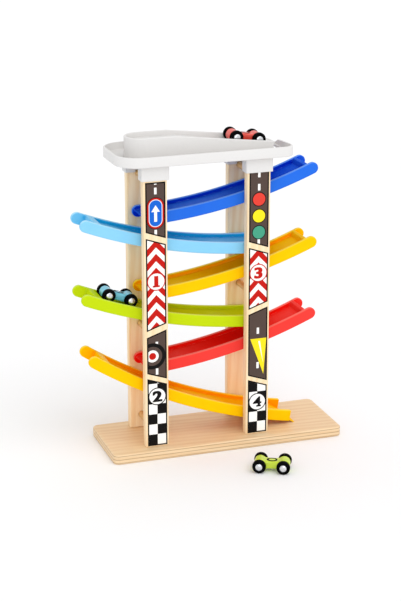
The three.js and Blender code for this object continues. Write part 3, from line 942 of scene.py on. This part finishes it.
TRAY_LEFT = TOWER_X["left"] - 52.7
TRAY_RIGHT = TOWER_X["right"] + 50.5
TRAY_HALF = PLANK_OUTER_Y + 12
TRAY_LEFT_CORNER = 34
TRAY_RIGHT_CORNER = 16
TRAY_WALL = 3
DECK_THICKNESS = 3
RIM_TOP = DECK_BOTTOM + 14.5
RIM_GAP_LEFT = -20  # the rim falls to a low lip round the rear right corner
RIM_GAP_START = -40
RIM_GAP_FRONT = 6
RIM_GAP_DIP = 3.2
RIM_GAP_FALL = 14
RIM_LIP = 1.5
RAMP_LEFT = TOWER_X["left"] - 29.8
RAMP_RIGHT = TOWER_X["right"] + 29.5
RAMP_HALF = 25
RAMP_WALL = 3.2
RAMP_WALL_ROUND = 0.9  # of the top edge, against half the wall
WALL_TOP = DECK_BOTTOM + 34
WALL_BEND = TOWER_X["left"] + 37.8
WALL_SLOPE = 0.12
WALL_NOSE = 3  # rounding of the wall's ends in the side view
REAR_DROP_FROM = TOWER_X["right"] + 3.5
REAR_DROP_TO = TOWER_X["right"] + 17.5
REAR_DROP_END = DECK_BOTTOM + 7.5
FLOOR_TOP = DECK_BOTTOM + 26.2
FLOOR_BEND = TOWER_X["left"] + 50.8
FLOOR_SLOPE = 0.158
SHELL = 2.5
HOLE_LEFT = TOWER_X["right"] + 19.5
HOLE_RIGHT = TOWER_X["right"] + 45.5
FRONT_SOCKET_BOTTOM = DECK_BOTTOM - 21
REAR_SOCKET_BOTTOM = DECK_BOTTOM - 25.5
SOCKET_WALL = 2.4
SOCKET_CORNER = 1.6
SOCKET_EDGE = 0.7
TRAY_EDGE = 1.4
PAN_EDGE = 2.0  # of the hollow inside the rim
PAN_TOP = RIM_TOP + 20  # well clear of the rim
BEND_EASE = 4  # to the extra stations on either side of a bend
WELL_DEPTH = 5  # how far the cut under the ramp reaches below and above the deck's underside
WELL_HEIGHT = 6


def floor_top(x):
    return FLOOR_TOP - max(0, x - FLOOR_BEND) * FLOOR_SLOPE


def slope_top(x):
    return WALL_TOP - max(0, x - WALL_BEND) * WALL_SLOPE


def wall_top(x, on_rear):
    """Top of the ramp wall: the rear one drops early, the front one runs to the end."""
    past = max(0, x - RAMP_RIGHT + WALL_NOSE)
    nose = WALL_NOSE - math.sqrt(WALL_NOSE ** 2 - past ** 2)
    if on_rear and x > REAR_DROP_FROM:
        share = min(1, (x - REAR_DROP_FROM) / (REAR_DROP_TO - REAR_DROP_FROM))
        eased = share * share * (3 - 2 * share)
        start = slope_top(REAR_DROP_FROM)
        return start + eased * (REAR_DROP_END - start) - nose
    return slope_top(x) - nose


def u_path(radius, right):
    """Points and outward normals along a U in plan, open to the right."""
    centre = RAMP_LEFT + RAMP_HALF
    drop = REAR_DROP_TO - REAR_DROP_FROM
    stations = [centre, WALL_BEND - BEND_EASE, WALL_BEND, WALL_BEND + BEND_EASE, 0]
    stations += [REAR_DROP_FROM + drop * i / 8 for i in range(9)]
    stations += [RAMP_RIGHT - WALL_NOSE * (1 - math.sin(QUARTER * i / 5)) for i in range(5)]
    straight = [x for x in stations if centre < x < right] + [right]
    front = [(x, -radius, 0, -1) for x in reversed(straight)]
    bend = arc(centre, 0, radius, 3 * QUARTER, QUARTER, 28)
    rear = [(x, radius, 0, 1) for x in straight]
    return front + bend + rear


def ramp_wall():
    """The wall round the ramp, with a rounded top edge."""
    half = RAMP_WALL / 2
    edge = half * RAMP_WALL_ROUND
    rings = []
    for x, y, nx, ny in u_path(RAMP_HALF - half, RAMP_RIGHT):
        top = wall_top(x, y > 0)
        profile = [(-half, DECK_BOTTOM + BITE), (half, DECK_BOTTOM + BITE)]
        for side, start, end in ((1, 0, QUARTER), (-1, QUARTER, 2 * QUARTER)):
            corner = arc(side * (half - edge), top - edge, edge, start, end, 3)
            profile += [(off, z) for off, z, _, _ in corner]
        rings.append([(x + nx * off, y + ny * off, z) for off, z in profile])
    return from_rings("ramp_wall", rings)


def trough_floor():
    """The sloping floor between the ramp walls, with a lip down to the deck at its open end."""
    radius = RAMP_HALF - RAMP_WALL + BITE
    centre = RAMP_LEFT + RAMP_HALF
    rings = []
    stations = [centre - radius * math.cos(QUARTER * i / 14) for i in range(1, 15)]
    stations += [FLOOR_BEND - BEND_EASE, FLOOR_BEND, FLOOR_BEND + BEND_EASE]
    stations += [0, HOLE_LEFT - SHELL, HOLE_LEFT]
    for x in stations:
        inside = min(0, x - centre)
        half = math.sqrt(radius ** 2 - inside ** 2)
        top = floor_top(x)
        bottom = top - SHELL
        rings.append([(x, -half, bottom), (x, half, bottom), (x, half, top), (x, -half, top)])
    return from_rings("trough_floor", rings)


def tray_plan(inset):
    """Plan of the tray: wide corners on the left, tight ones on the right."""
    left_x = TRAY_LEFT + TRAY_LEFT_CORNER
    right_x = TRAY_RIGHT - TRAY_RIGHT_CORNER
    left_y = TRAY_HALF - TRAY_LEFT_CORNER
    right_y = TRAY_HALF - TRAY_RIGHT_CORNER
    left_radius = TRAY_LEFT_CORNER - inset
    right_radius = TRAY_RIGHT_CORNER - inset
    return (
        arc(right_x, -right_y, right_radius, -QUARTER, 0, 12)
        + arc(right_x, right_y, right_radius, 0, QUARTER, 12)
        + arc(left_x, left_y, left_radius, QUARTER, 2 * QUARTER, 18)
        + arc(left_x, -left_y, left_radius, 2 * QUARTER, 3 * QUARTER, 18)
    )


def rim_gap():
    """The cut that lowers the rim round the rear right corner."""
    lip_top = DECK_BOTTOM + DECK_THICKNESS + RIM_LIP
    outline = [
        (RIM_GAP_START, RIM_TOP),
        (RIM_GAP_FRONT, RIM_TOP - RIM_GAP_DIP),
        (RIM_GAP_FRONT + RIM_GAP_FALL, lip_top),
        (TRAY_HALF + PAST, lip_top),
        (TRAY_HALF + PAST, RIM_TOP + PAST),
        (RIM_GAP_START, RIM_TOP + PAST),
    ]
    return prism("rim_gap", outline, RIM_GAP_LEFT, TRAY_RIGHT + PAST, end_point)


def build_tray():
    tray = pillow("launch_tray_moulding", tray_plan(0), DECK_BOTTOM, RIM_TOP, TRAY_EDGE)
    inner = RAMP_HALF - RAMP_WALL
    well = u_path(inner, HOLE_RIGHT)
    combine(
        tray,
        [
            pillow("pan", tray_plan(TRAY_WALL), DECK_BOTTOM + DECK_THICKNESS, PAN_TOP, PAN_EDGE),
            rim_gap(),
            cutter("well", well, DECK_BOTTOM - WELL_DEPTH, DECK_BOTTOM + WELL_HEIGHT, plan_point),
        ],
        "DIFFERENCE",
    )
    lip = block(
        "lip",
        HOLE_LEFT - SHELL,
        HOLE_LEFT,
        -inner - BITE,
        inner + BITE,
        DECK_BOTTOM + BITE / 2,
        floor_top(HOLE_LEFT) - BITE,
    )
    half_x = PLANK_WIDTH / 2 + GAP
    half_y = PLANK_THICKNESS / 2 + GAP
    outer_x = half_x + SOCKET_WALL
    outer_y = half_y + SOCKET_WALL
    notch = DOWEL_RADIUS + GAP
    notch_y = PLANK_INNER_Y
    sockets = []
    pockets = []
    for x, y in PLANK_SPOTS:
        outline = rounded_rectangle(x - outer_x, y - outer_y, x + outer_x, y + outer_y, SOCKET_CORNER)
        bottom = FRONT_SOCKET_BOTTOM if y < 0 else REAR_SOCKET_BOTTOM
        below = bottom - PAST
        sockets.append(pillow("socket", outline, bottom, DECK_BOTTOM + 2 * BITE, SOCKET_EDGE))
        pockets += [
            block("pocket", x - half_x, x + half_x, y - half_y, y + half_y, below, DECK_BOTTOM),
            block("dowel_notch", x - notch, x + notch, -notch_y, notch_y, below, TOP_DOWEL + notch),
        ]
    combine(tray, [ramp_wall(), trough_floor(), lip] + sockets, "UNION")
    combine(tray, pockets, "DIFFERENCE")
    finish_piece(tray, tray_plastic, "frame", "grey_plastic", "launch_tray")


build_tray()


# Cars: a waisted body, two steel axles with domed ends, and four wheels

AXLE_RADIUS = 1.5
WHEEL_INNER = 10.4
WHEEL_OUTER = 17.4
HUB_RADIUS = 5
HUB_DOME = 1.6
CAR_HALF_WIDTH = 9.8
CAR_WAIST = 8
CAR_BOTTOM = -6.2
CAR_TOP = 5.6
CAR_BARREL = 8.5
CAR_EDGE = 2.4
CAR_STATIONS = 72
CAR_BLEND = 9  # how tightly the barrels run into the waist
CAR_NOSE_POWER = 6  # how late the nose draws in
CAR_PINCH_END = 3  # the waist ends this far inside each axle
CAR_EDGE_SHARE = 0.45  # of a section's height, where that is low
CAR_NOSE_LEAST = 0.04  # square of the half height at the very ends
SEAT_SIZES = ((7.6, 6.2), (4.8, 3.0))  # half lengths of the dark oval and of the painted one on it
SEAT_STEP = 0.15
SEAT_SINK = 0.2
SEAT_EDGE = 0.1


def car_body(name):
    """A body lofted along X: a barrel round each axle, and a lower, narrower waist between them."""
    half = WHEEL_BASE / 2
    nose = half + CAR_BARREL
    rings = []
    for i in range(CAR_STATIONS + 1):
        x = -nose * math.cos(math.pi * i / CAR_STATIONS)
        reach = abs(x) - half
        barrel = math.sqrt(max(CAR_BARREL ** 2 - reach ** 2, CAR_NOSE_LEAST))
        bridge = CAR_TOP if reach < 0 else 0
        top = (barrel ** CAR_BLEND + bridge ** CAR_BLEND) ** (1 / CAR_BLEND)
        bottom = max(CAR_BOTTOM, -top)
        pinch = math.cos(QUARTER * min(1, abs(x) / (half - CAR_PINCH_END))) ** 2
        nose_pull = CAR_EDGE * max(0, reach / CAR_BARREL) ** CAR_NOSE_POWER
        width = CAR_HALF_WIDTH - pinch * (CAR_HALF_WIDTH - CAR_WAIST) - nose_pull
        edge = min(CAR_EDGE, CAR_EDGE_SHARE * (top - bottom))
        section = rounded_rectangle(-width, bottom, width, top, edge, 5)
        rings.append([(x, y, z) for y, z, _, _ in section])
    return from_rings(name, rings)


def oval(half_x, half_y, steps=40):
    points = []
    for x, y, nx, ny in circle(0, 0, 1, steps):
        length = math.hypot(nx / half_x, ny / half_y)
        points.append((x * half_x, y * half_y, nx / half_x / length, ny / half_y / length))
    return points


def wheel_profile(sign):
    """A wheel with a crowned tread, a stepped face and a bore, as (radius, y)."""
    bore = AXLE_RADIUS + GAP
    face = WHEEL_OUTER
    points = [
        (bore, WHEEL_INNER),
        (WHEEL_RADIUS - 1.4, WHEEL_INNER),
        (WHEEL_RADIUS - 0.5, WHEEL_INNER + 0.4),
        (WHEEL_RADIUS - 0.1, WHEEL_INNER + 1.4),
        (WHEEL_RADIUS, (WHEEL_INNER + face) / 2),
        (WHEEL_RADIUS - 0.1, face - 1.4),
        (WHEEL_RADIUS - 0.5, face - 0.4),
        (WHEEL_RADIUS - 1.4, face),
        (WHEEL_RADIUS - 2.3, face),
        (WHEEL_RADIUS - 2.6, face - 0.5),
        (HUB_RADIUS + 0.9, face - 0.5),
        (HUB_RADIUS + 0.6, face),
        (bore, face),
    ]
    return [(radius, sign * y) for radius, y in points]


def axle_profile():
    cap = WHEEL_OUTER + GAP
    dome = []
    for i in range(7):
        angle = QUARTER * i / 6
        dome.append((HUB_RADIUS * math.sin(angle), cap + HUB_DOME * math.cos(angle)))
    shaft = [(HUB_RADIUS, cap), (AXLE_RADIUS, cap)]
    outer = dome[:-1] + shaft
    return [(radius, -y) for radius, y in outer] + [(radius, y) for radius, y in reversed(outer)]


def build_car(colour, where):
    name = f"car_{colour}"
    body_name = f"{colour}_car"
    slot = f"{colour}_paint"
    paint = car_paints[colour]
    half = WHEEL_BASE / 2
    body = car_body(f"{name}_block")
    bores = []
    for x in (half, -half):
        outline = circle(x, 0, AXLE_RADIUS + GAP, 24)
        reach = CAR_HALF_WIDTH + PAST
        bores.append(cutter("bore", outline, -reach, reach))
    combine(body, bores, "DIFFERENCE")
    finish_piece(place(body, where), paint, body_name, slot, f"{name}_body")
    for level, (sizes, finish) in enumerate(zip(SEAT_SIZES, (black_plastic, paint))):
        top = CAR_TOP + SEAT_STEP + SEAT_STEP * level
        badge = pillow(f"{name}_seat_{level}", oval(*sizes), CAR_TOP - SEAT_SINK, top, SEAT_EDGE)
        finish_piece(place(badge, where), finish, body_name, slot)
    for end, x in (("front", half), ("rear", -half)):
        wheelset = f"{colour}_car_{end}_wheels"
        spot = where @ Matrix.Translation((x, 0, 0))
        axle = place(turned(f"{name}_axle_{end}_rod", axle_profile()), spot)
        finish_piece(axle, steel, wheelset, "steel", f"{name}_axle_{end}")
        for hand, sign in (("right", -1), ("left", 1)):
            wheel_name = f"{name}_wheel_{end}_{hand}"
            wheel = place(turned(f"{wheel_name}_turning", wheel_profile(sign), 64), spot)
            finish_piece(wheel, black_plastic, wheelset, "black_wheel", wheel_name)


def stand(x, y, z, turn_y, turn_z):
    spin = Matrix.Rotation(turn_z, 4, "Z") @ Matrix.Rotation(turn_y, 4, "Y")
    return Matrix.Translation((x, y, z)) @ spin


RED_CAR_X = TOWER_X["right"] - 5.5
RAMP_ANGLE = math.atan(FLOOR_SLOPE)
RED_CAR_LIFT = (WHEEL_RADIUS + GAP) / math.cos(RAMP_ANGLE)
build_car("red", stand(RED_CAR_X, 0, floor_top(RED_CAR_X) + RED_CAR_LIFT, RAMP_ANGLE, 0))

BLUE_CAR_X = -149.5
AXLE_CIRCLE = TRACK_RADIUS - TRACK_FLOOR_TOP - GAP - WHEEL_RADIUS
BLUE_CAR_RADIUS = math.sqrt(AXLE_CIRCLE ** 2 - (WHEEL_BASE / 2) ** 2)
BLUE_CAR_ANGLE = math.asin((BLUE_CAR_X - green_track.centre_x) / BLUE_CAR_RADIUS)
BLUE_CAR_Z = green_track.centre_z - BLUE_CAR_RADIUS * math.cos(BLUE_CAR_ANGLE)
build_car("blue", stand(BLUE_CAR_X, 0, BLUE_CAR_Z, -BLUE_CAR_ANGLE, 0))

GREEN_CAR_X = 32.4
GREEN_CAR_Y = -BASE_DEPTH / 2 - 83
GREEN_CAR_TURN = -0.466
build_car("green", stand(GREEN_CAR_X, GREEN_CAR_Y, WHEEL_RADIUS, 0, GREEN_CAR_TURN))


# Prints on the front planks: thin layers of ink, each a little further out than the one below

INK_STEP = 0.06
INK_SINK = 0.02  # of a printed layer into the plank
LINE = 2.0
PRINT_HALF = 14.6
PRINT_SHIFT = 0.2  # the prints sit this far to the right of the plank's middle
SLANT_DOWN = -10.0  # change in height of a slanted panel end across the print
SLANT_UP = 10.0


class Panel:
    """A printed field with upright sides and level or slanted ends."""

    def __init__(self, tower_name, top, bottom, top_slant=0, bottom_slant=0):
        self.name = f"print_{tower_name}_{round(top)}"
        self.x = TOWER_X[tower_name] + PRINT_SHIFT
        self.top = top
        self.bottom = bottom
        self.top_slant = top_slant
        self.bottom_slant = bottom_slant

    def corners(self, inset=0):
        half = PRINT_HALF - inset
        points = []
        for level, slant, lift, hands in (
            (self.bottom, self.bottom_slant, inset, (-1, 1)),
            (self.top, self.top_slant, -inset, (1, -1)),
        ):
            for hand in hands:
                rise = hand * slant / 2 * half / PRINT_HALF
                points.append((self.x + hand * half, level + rise + lift))
        return points


def clipped(polygon, field):
    """The part of a polygon inside a convex field, both in order against the clock."""
    for one, two in zip(field, field[1:] + field[:1]):
        def side(p):
            return (two[0] - one[0]) * (p[1] - one[1]) - (two[1] - one[1]) * (p[0] - one[0])
        kept = []
        for p, q in zip(polygon, polygon[1:] + polygon[:1]):
            a, b = side(p), side(q)
            if a >= 0:
                kept.append(p)
            if a * b < 0:
                share = a / (a - b)
                kept.append((p[0] + (q[0] - p[0]) * share, p[1] + (q[1] - p[1]) * share))
        polygon = kept
        if not polygon:
            break
    return polygon


print_count = {}


def ink_layer(panel, polygons, layer, ink):
    """Thin solids of one ink on the face of a front plank."""
    back = -PLANK_OUTER_Y + INK_SINK
    face = -PLANK_OUTER_Y - INK_STEP * layer
    solids = [prism("ink", polygon, back, face, side_point) for polygon in polygons if len(polygon) > 2]
    first = solids[0]
    if len(solids) > 1:
        with bpy.context.temp_override(
            active_object=first, selected_editable_objects=solids, selected_objects=solids
        ):
            bpy.ops.object.join()
    settle_ink(panel, first, ink)


def settle_ink(panel, piece, ink):
    print_count[panel.name] = print_count.get(panel.name, 0) + 1
    piece.name = f"{panel.name}_{ink}_{print_count[panel.name]}"
    finish_piece(piece, inks[ink], "frame", "pale_wood")


def mark_row(panel, x, z, step, count, width, height, layer, ink):
    """A row of equal printed marks that climbs by a step."""
    depth = INK_STEP * layer
    piece = grow(
        "marks",
        MARK_ROWS,
        {
            "Count": count,
            "Start": (x * MM, (-PLANK_OUTER_Y - depth / 2) * MM, z * MM),
            "Step": (0, 0, step * MM),
            "Size": (width * MM, depth * MM, height * MM),
            "Material": inks[ink],
        },
    )
    settle_ink(panel, piece, ink)


def disc(x, z, radius, steps=56):
    return [(u, v) for u, v, _, _ in circle(x, z, radius, steps)]


def rectangle(x0, z0, x1, z1):
    return [(x0, z0), (x1, z0), (x1, z1), (x0, z1)]


def moved(points, x, z):
    return [(x + point[0], z + point[1]) for point in points]


def framed(panel, ground):
    """A black outline with the ground colour inside it."""
    ink_layer(panel, [panel.corners()], 1, "black")
    ink_layer(panel, [panel.corners(LINE)], 2, ground)


DASH_WIDTH = 3.6
DASH_LENGTH = 9.4


def road(panel, first, step, count):
    framed(panel, "road")
    mark_row(panel, panel.x, first, step, count, DASH_WIDTH, DASH_LENGTH, 3, "white")


def cut_dash(panel, z):
    """A dash that runs off the end of the road."""
    half_x = DASH_WIDTH / 2
    half_z = DASH_LENGTH / 2
    dash = rectangle(panel.x - half_x, z - half_z, panel.x + half_x, z + half_z)
    ink_layer(panel, [clipped(dash, panel.corners(LINE))], 3, "white")


CHEVRON_STEP = 20
CHEVRON_SHARE = 0.54  # red against white
CHEVRON_RISE = 15.4  # how far an arm falls from the middle to the side of the print


def chevrons(panel, apex):
    """Red arrows on white, pointing up."""
    framed(panel, "white")
    field = panel.corners(LINE)
    arms = []
    first = math.ceil((panel.bottom - apex) / CHEVRON_STEP) - 1
    last = math.floor((panel.top - apex) / CHEVRON_STEP) + 2
    for i in range(first, last):
        top = apex + i * CHEVRON_STEP
        low = top - CHEVRON_STEP * CHEVRON_SHARE
        for hand in (-1, 1):
            edge = panel.x + hand * PRINT_HALF
            arm = [
                (panel.x, low),
                (edge, low - CHEVRON_RISE),
                (edge, top - CHEVRON_RISE),
                (panel.x, top),
            ]
            arms.append(clipped(arm if hand > 0 else arm[::-1], field))
    ink_layer(panel, arms, 3, "red")


CHECK_HEIGHT = 15.5


def checker(panel, cells):
    """Two columns of squares that alternate, counted up from the bottom. The last runs on to the top."""
    framed(panel, "white")
    field = panel.corners(LINE)
    width = PRINT_HALF - LINE
    squares = []
    foot = panel.bottom + LINE
    for row in range(cells):
        x0 = panel.x - width * (1 - row % 2)
        z0 = foot + row * CHECK_HEIGHT
        z1 = z0 + CHECK_HEIGHT * (2 if row == cells - 1 else 1)
        squares.append(clipped(rectangle(x0, z0, x0 + width, z1), field))
    ink_layer(panel, squares, 3, "black")


ROUNDEL_RADIUS = 13.4
ROUNDEL_RING = 1.5
DIGIT_SIZE = 22
DIGIT_STRETCH = 1.18
DIGIT_SWELL = {"1": 0.75, "2": 0.75, "3": 0.75, "4": 0.3}  # of the outline, to make the strokes bolder
DIGIT_SPREAD = {"1": 0.9, "2": 0.9, "3": 0.9, "4": 0.35}  # of a copy to either side, for the same
DIGIT_FOOT = {"1": (-5.2, 5.2), "4": (-1.4, 5.8)}  # the slab that some digits stand on, from and to
FOOT_HEIGHT = 2.6


def roundel(panel, z, digit, ink):
    """A white disc with a thin ring and a number in the same ink."""
    ink_layer(panel, [disc(panel.x, z, ROUNDEL_RADIUS)], 4, ink)
    ink_layer(panel, [disc(panel.x, z, ROUNDEL_RADIUS - ROUNDEL_RING)], 5, "white")
    curve = bpy.data.curves.new("digit", "FONT")
    curve.body = digit
    curve.align_x = "CENTER"
    curve.size = DIGIT_SIZE * MM
    curve.offset = DIGIT_SWELL[digit] * MM
    curve.extrude = INK_STEP * 3 * MM
    text = link_object("digit", curve)
    bpy.context.view_layer.update()
    mesh = bpy.data.meshes.new_from_object(text.evaluated_get(bpy.context.evaluated_depsgraph_get()))
    bpy.data.objects.remove(text)
    lowest = min(v.co.y for v in mesh.vertices)
    highest = max(v.co.y for v in mesh.vertices)
    centre = (lowest + highest) / 2 / MM
    for level, side in enumerate((-1, 1, 0)):
        piece = link_object("digit_mesh", mesh.copy())
        depth = INK_STEP * (3 + level / 3)
        x = panel.x + side * DIGIT_SPREAD[digit]
        upright = Matrix.Translation((x, -PLANK_OUTER_Y - depth, z - centre))
        stretch = Matrix.Diagonal((DIGIT_STRETCH, 1, 1, 1))
        place(piece, upright @ Matrix.Rotation(QUARTER, 4, "X") @ stretch)
        settle_ink(panel, piece, ink)
    bpy.data.meshes.remove(mesh)
    if digit in DIGIT_FOOT:
        left, right = DIGIT_FOOT[digit]
        foot = z + (lowest / MM - centre)
        slab = rectangle(panel.x + left, foot, panel.x + right, foot + FOOT_HEIGHT)
        ink_layer(panel, [slab], 6, ink)


OUTLINE = 1.2


def ringed_disc(panel, z, radius, ink, layer=4):
    """A coloured disc with a dark outline."""
    ink_layer(panel, [disc(panel.x, z, radius)], layer, "black")
    ink_layer(panel, [disc(panel.x, z, radius - OUTLINE)], layer + 1, ink)


left_road = Panel("left", 405.4, 329.6, 0, SLANT_DOWN)
road(left_road, 353.2, 20, 3)
for dash_z in (333.2, 406.8):
    cut_dash(left_road, dash_z)
SIGN_Z = 361.6
SIGN_ROUND = 0.98  # corner radius against half the width
SIGN_LAYERS = ((12.9, 22.6, "black"), (12.1, 21.8, "red"), (9.8, 19.5, "white"), (8.9, 18.6, "blue"))
for layer, (half_x, half_z, ink) in enumerate(SIGN_LAYERS, 4):
    plate = rounded_rectangle(-half_x, -half_z, half_x, half_z, half_x * SIGN_ROUND, 14)
    ink_layer(left_road, [moved(plate, left_road.x, SIGN_Z)], layer, ink)
arrow = [(-2.1, -12), (2.1, -12), (2.1, 2), (6.2, 2), (0, 11.5), (-6.2, 2), (-2.1, 2)]
ink_layer(left_road, [moved(arrow, left_road.x, SIGN_Z)], 8, "white")

left_chevrons = Panel("left", 321.2, 195, SLANT_DOWN, SLANT_UP)
chevrons(left_chevrons, 303.5)
roundel(left_chevrons, 263, "1", "red")

left_tyre = Panel("left", 186, 122, SLANT_UP, SLANT_DOWN)
road(left_tyre, 129.4, 20, 3)
TYRE_Z = 153
TYRE_SHIFT = -6.5  # the tyre runs off the left side of the print
TYRE_RINGS = ((19.5, "black"), (14.2, "road"), (9.0, "white"), (5.2, "red"))
for layer, (radius, ink) in enumerate(TYRE_RINGS, 4):
    ring = disc(left_tyre.x + TYRE_SHIFT, TYRE_Z, radius)
    ink_layer(left_tyre, [clipped(ring, left_tyre.corners(LINE))], layer, ink)

left_checker = Panel("left", 114.5, 16.3, SLANT_DOWN, 0)
checker(left_checker, 7)
roundel(left_checker, 91.7, "2", "black")

right_road = Panel("right", 409.9, 302.3, 0, SLANT_DOWN)
road(right_road, 326, 20, 4)
for dash_z in (306, 404.9):
    cut_dash(right_road, dash_z)
LAMP_RADIUS = 10.4
for lamp_z, ink in ((368.6, "lamp_red"), (344.3, "yellow"), (320.6, "green")):
    ringed_disc(right_road, lamp_z, LAMP_RADIUS, ink)

right_chevrons = Panel("right", 294, 211.6, SLANT_DOWN, SLANT_UP)
chevrons(right_chevrons, 296.4)
roundel(right_chevrons, 260.7, "3", "red")

right_sign = Panel("right", 204.1, 101.2, SLANT_UP, SLANT_DOWN)
road(right_sign, 121.2, 26.3, 3)
PENNANT_TOP = 162
PENNANT_FOOT = 107
pennant = [(9, PENNANT_FOOT), (13, PENNANT_TOP), (-11.5, PENNANT_TOP)]
stripe = [(8.2, 125), (3.4, 158), (0.6, 158)]
for layer, (shape, ink) in enumerate(((pennant, "yellow"), (stripe, "white")), 4):
    ink_layer(right_sign, [moved(shape, right_sign.x, 0)], layer, ink)

right_checker = Panel("right", 94.7, 16.6, SLANT_DOWN, 0)
checker(right_checker, 5)
roundel(right_checker, 64.7, "4", "black")


# Floor, light and camera

FLOOR_SIZE = 12.0  # half a side, in metres
WORLD_LIGHT = 0.9  # what falls on the surfaces
WORLD_SEEN = 1.0  # what the camera and reflections see
SUNS = (  # name, energy, spread in degrees, direction
    ("key", 0.6, 50, (-0.28, 0.50, -0.82)),
    ("front", 0.5, 30, (0.30, 0.91, -0.28)),
)

# The camera that was fitted to the photograph, in its pixels, degrees and millimetres
PICTURE_HEIGHT = 601
FOCAL_LENGTH = 1651.6
PICTURE_SHIFT = (47.24, -3.4)
CAMERA_PLACE = (-756.85, -2152.14, 941.18)
YAW = 17.07
PITCH = -17.635
ROLL = -0.606


def build_stage():
    floor = prism("floor", [(-1, -1), (1, -1), (1, 1), (-1, 1)], -1, 0)
    floor.data.transform(Matrix.Diagonal((FLOOR_SIZE / MM, FLOOR_SIZE / MM, 1, 1)))
    material, tree, shader, where = new_finish("pale_floor")
    tone = blended(tree, noise(tree, where, 3.0), rgb(250, 250, 251), rgb(247, 247, 248))
    feed(tree, shader, {"Base Color": tone, "Roughness": 0.9})
    floor.data.materials.append(material)


def build_light():
    scene = bpy.context.scene
    world = bpy.data.worlds.new("studio")
    scene.world = world
    world.use_nodes = True
    tree = world.node_tree
    background = tree.nodes["Background"]
    path = node(tree, "ShaderNodeLightPath")
    seen = path.outputs["Is Camera Ray"]
    for ray in ("Is Glossy Ray", "Is Transmission Ray"):
        seen = math_node(tree, "MAXIMUM", seen, path.outputs[ray])
    strength = spread(tree, seen, WORLD_LIGHT, WORLD_SEEN)
    feed(tree, background, {"Strength": strength, "Color": (1.0, 1.0, 1.0, 1.0)})
    for name, energy, spread_angle, direction in SUNS:
        sun = bpy.data.lights.new(name, "SUN")
        sun.energy = energy
        sun.angle = math.radians(spread_angle)
        lamp = bpy.data.objects.new(name, sun)
        lamp.rotation_euler = Vector(direction).to_track_quat("-Z", "Y").to_euler()
        scene.collection.objects.link(lamp)
    scene.view_settings.view_transform = "Standard"


def build_camera():
    """Left of the front and above, with the picture's middle moved off the axis."""
    yaw, pitch, roll = (math.radians(angle) for angle in (YAW, PITCH, ROLL))
    data = bpy.data.cameras.new("camera")
    data.sensor_width = 36
    data.lens = FOCAL_LENGTH * data.sensor_width / PICTURE_HEIGHT
    data.shift_x, data.shift_y = (pixels / PICTURE_HEIGHT for pixels in PICTURE_SHIFT)
    data.clip_start = 0.05
    data.clip_end = 60
    forward = Vector((
        math.sin(yaw) * math.cos(pitch),
        math.cos(yaw) * math.cos(pitch),
        math.sin(pitch),
    ))
    level = Vector((math.cos(yaw), -math.sin(yaw), 0))
    upward = level.cross(forward)
    right = math.cos(roll) * level + math.sin(roll) * upward
    up = -math.sin(roll) * level + math.cos(roll) * upward
    camera = bpy.data.objects.new("camera", data)
    turn = Matrix((right, up, -forward)).transposed().to_4x4()
    camera.matrix_world = Matrix.Translation(Vector(CAMERA_PLACE) * MM) @ turn
    bpy.context.scene.collection.objects.link(camera)
    bpy.context.scene.camera = camera


build_stage()
build_light()
build_camera()

bpy.context.view_layer.update()
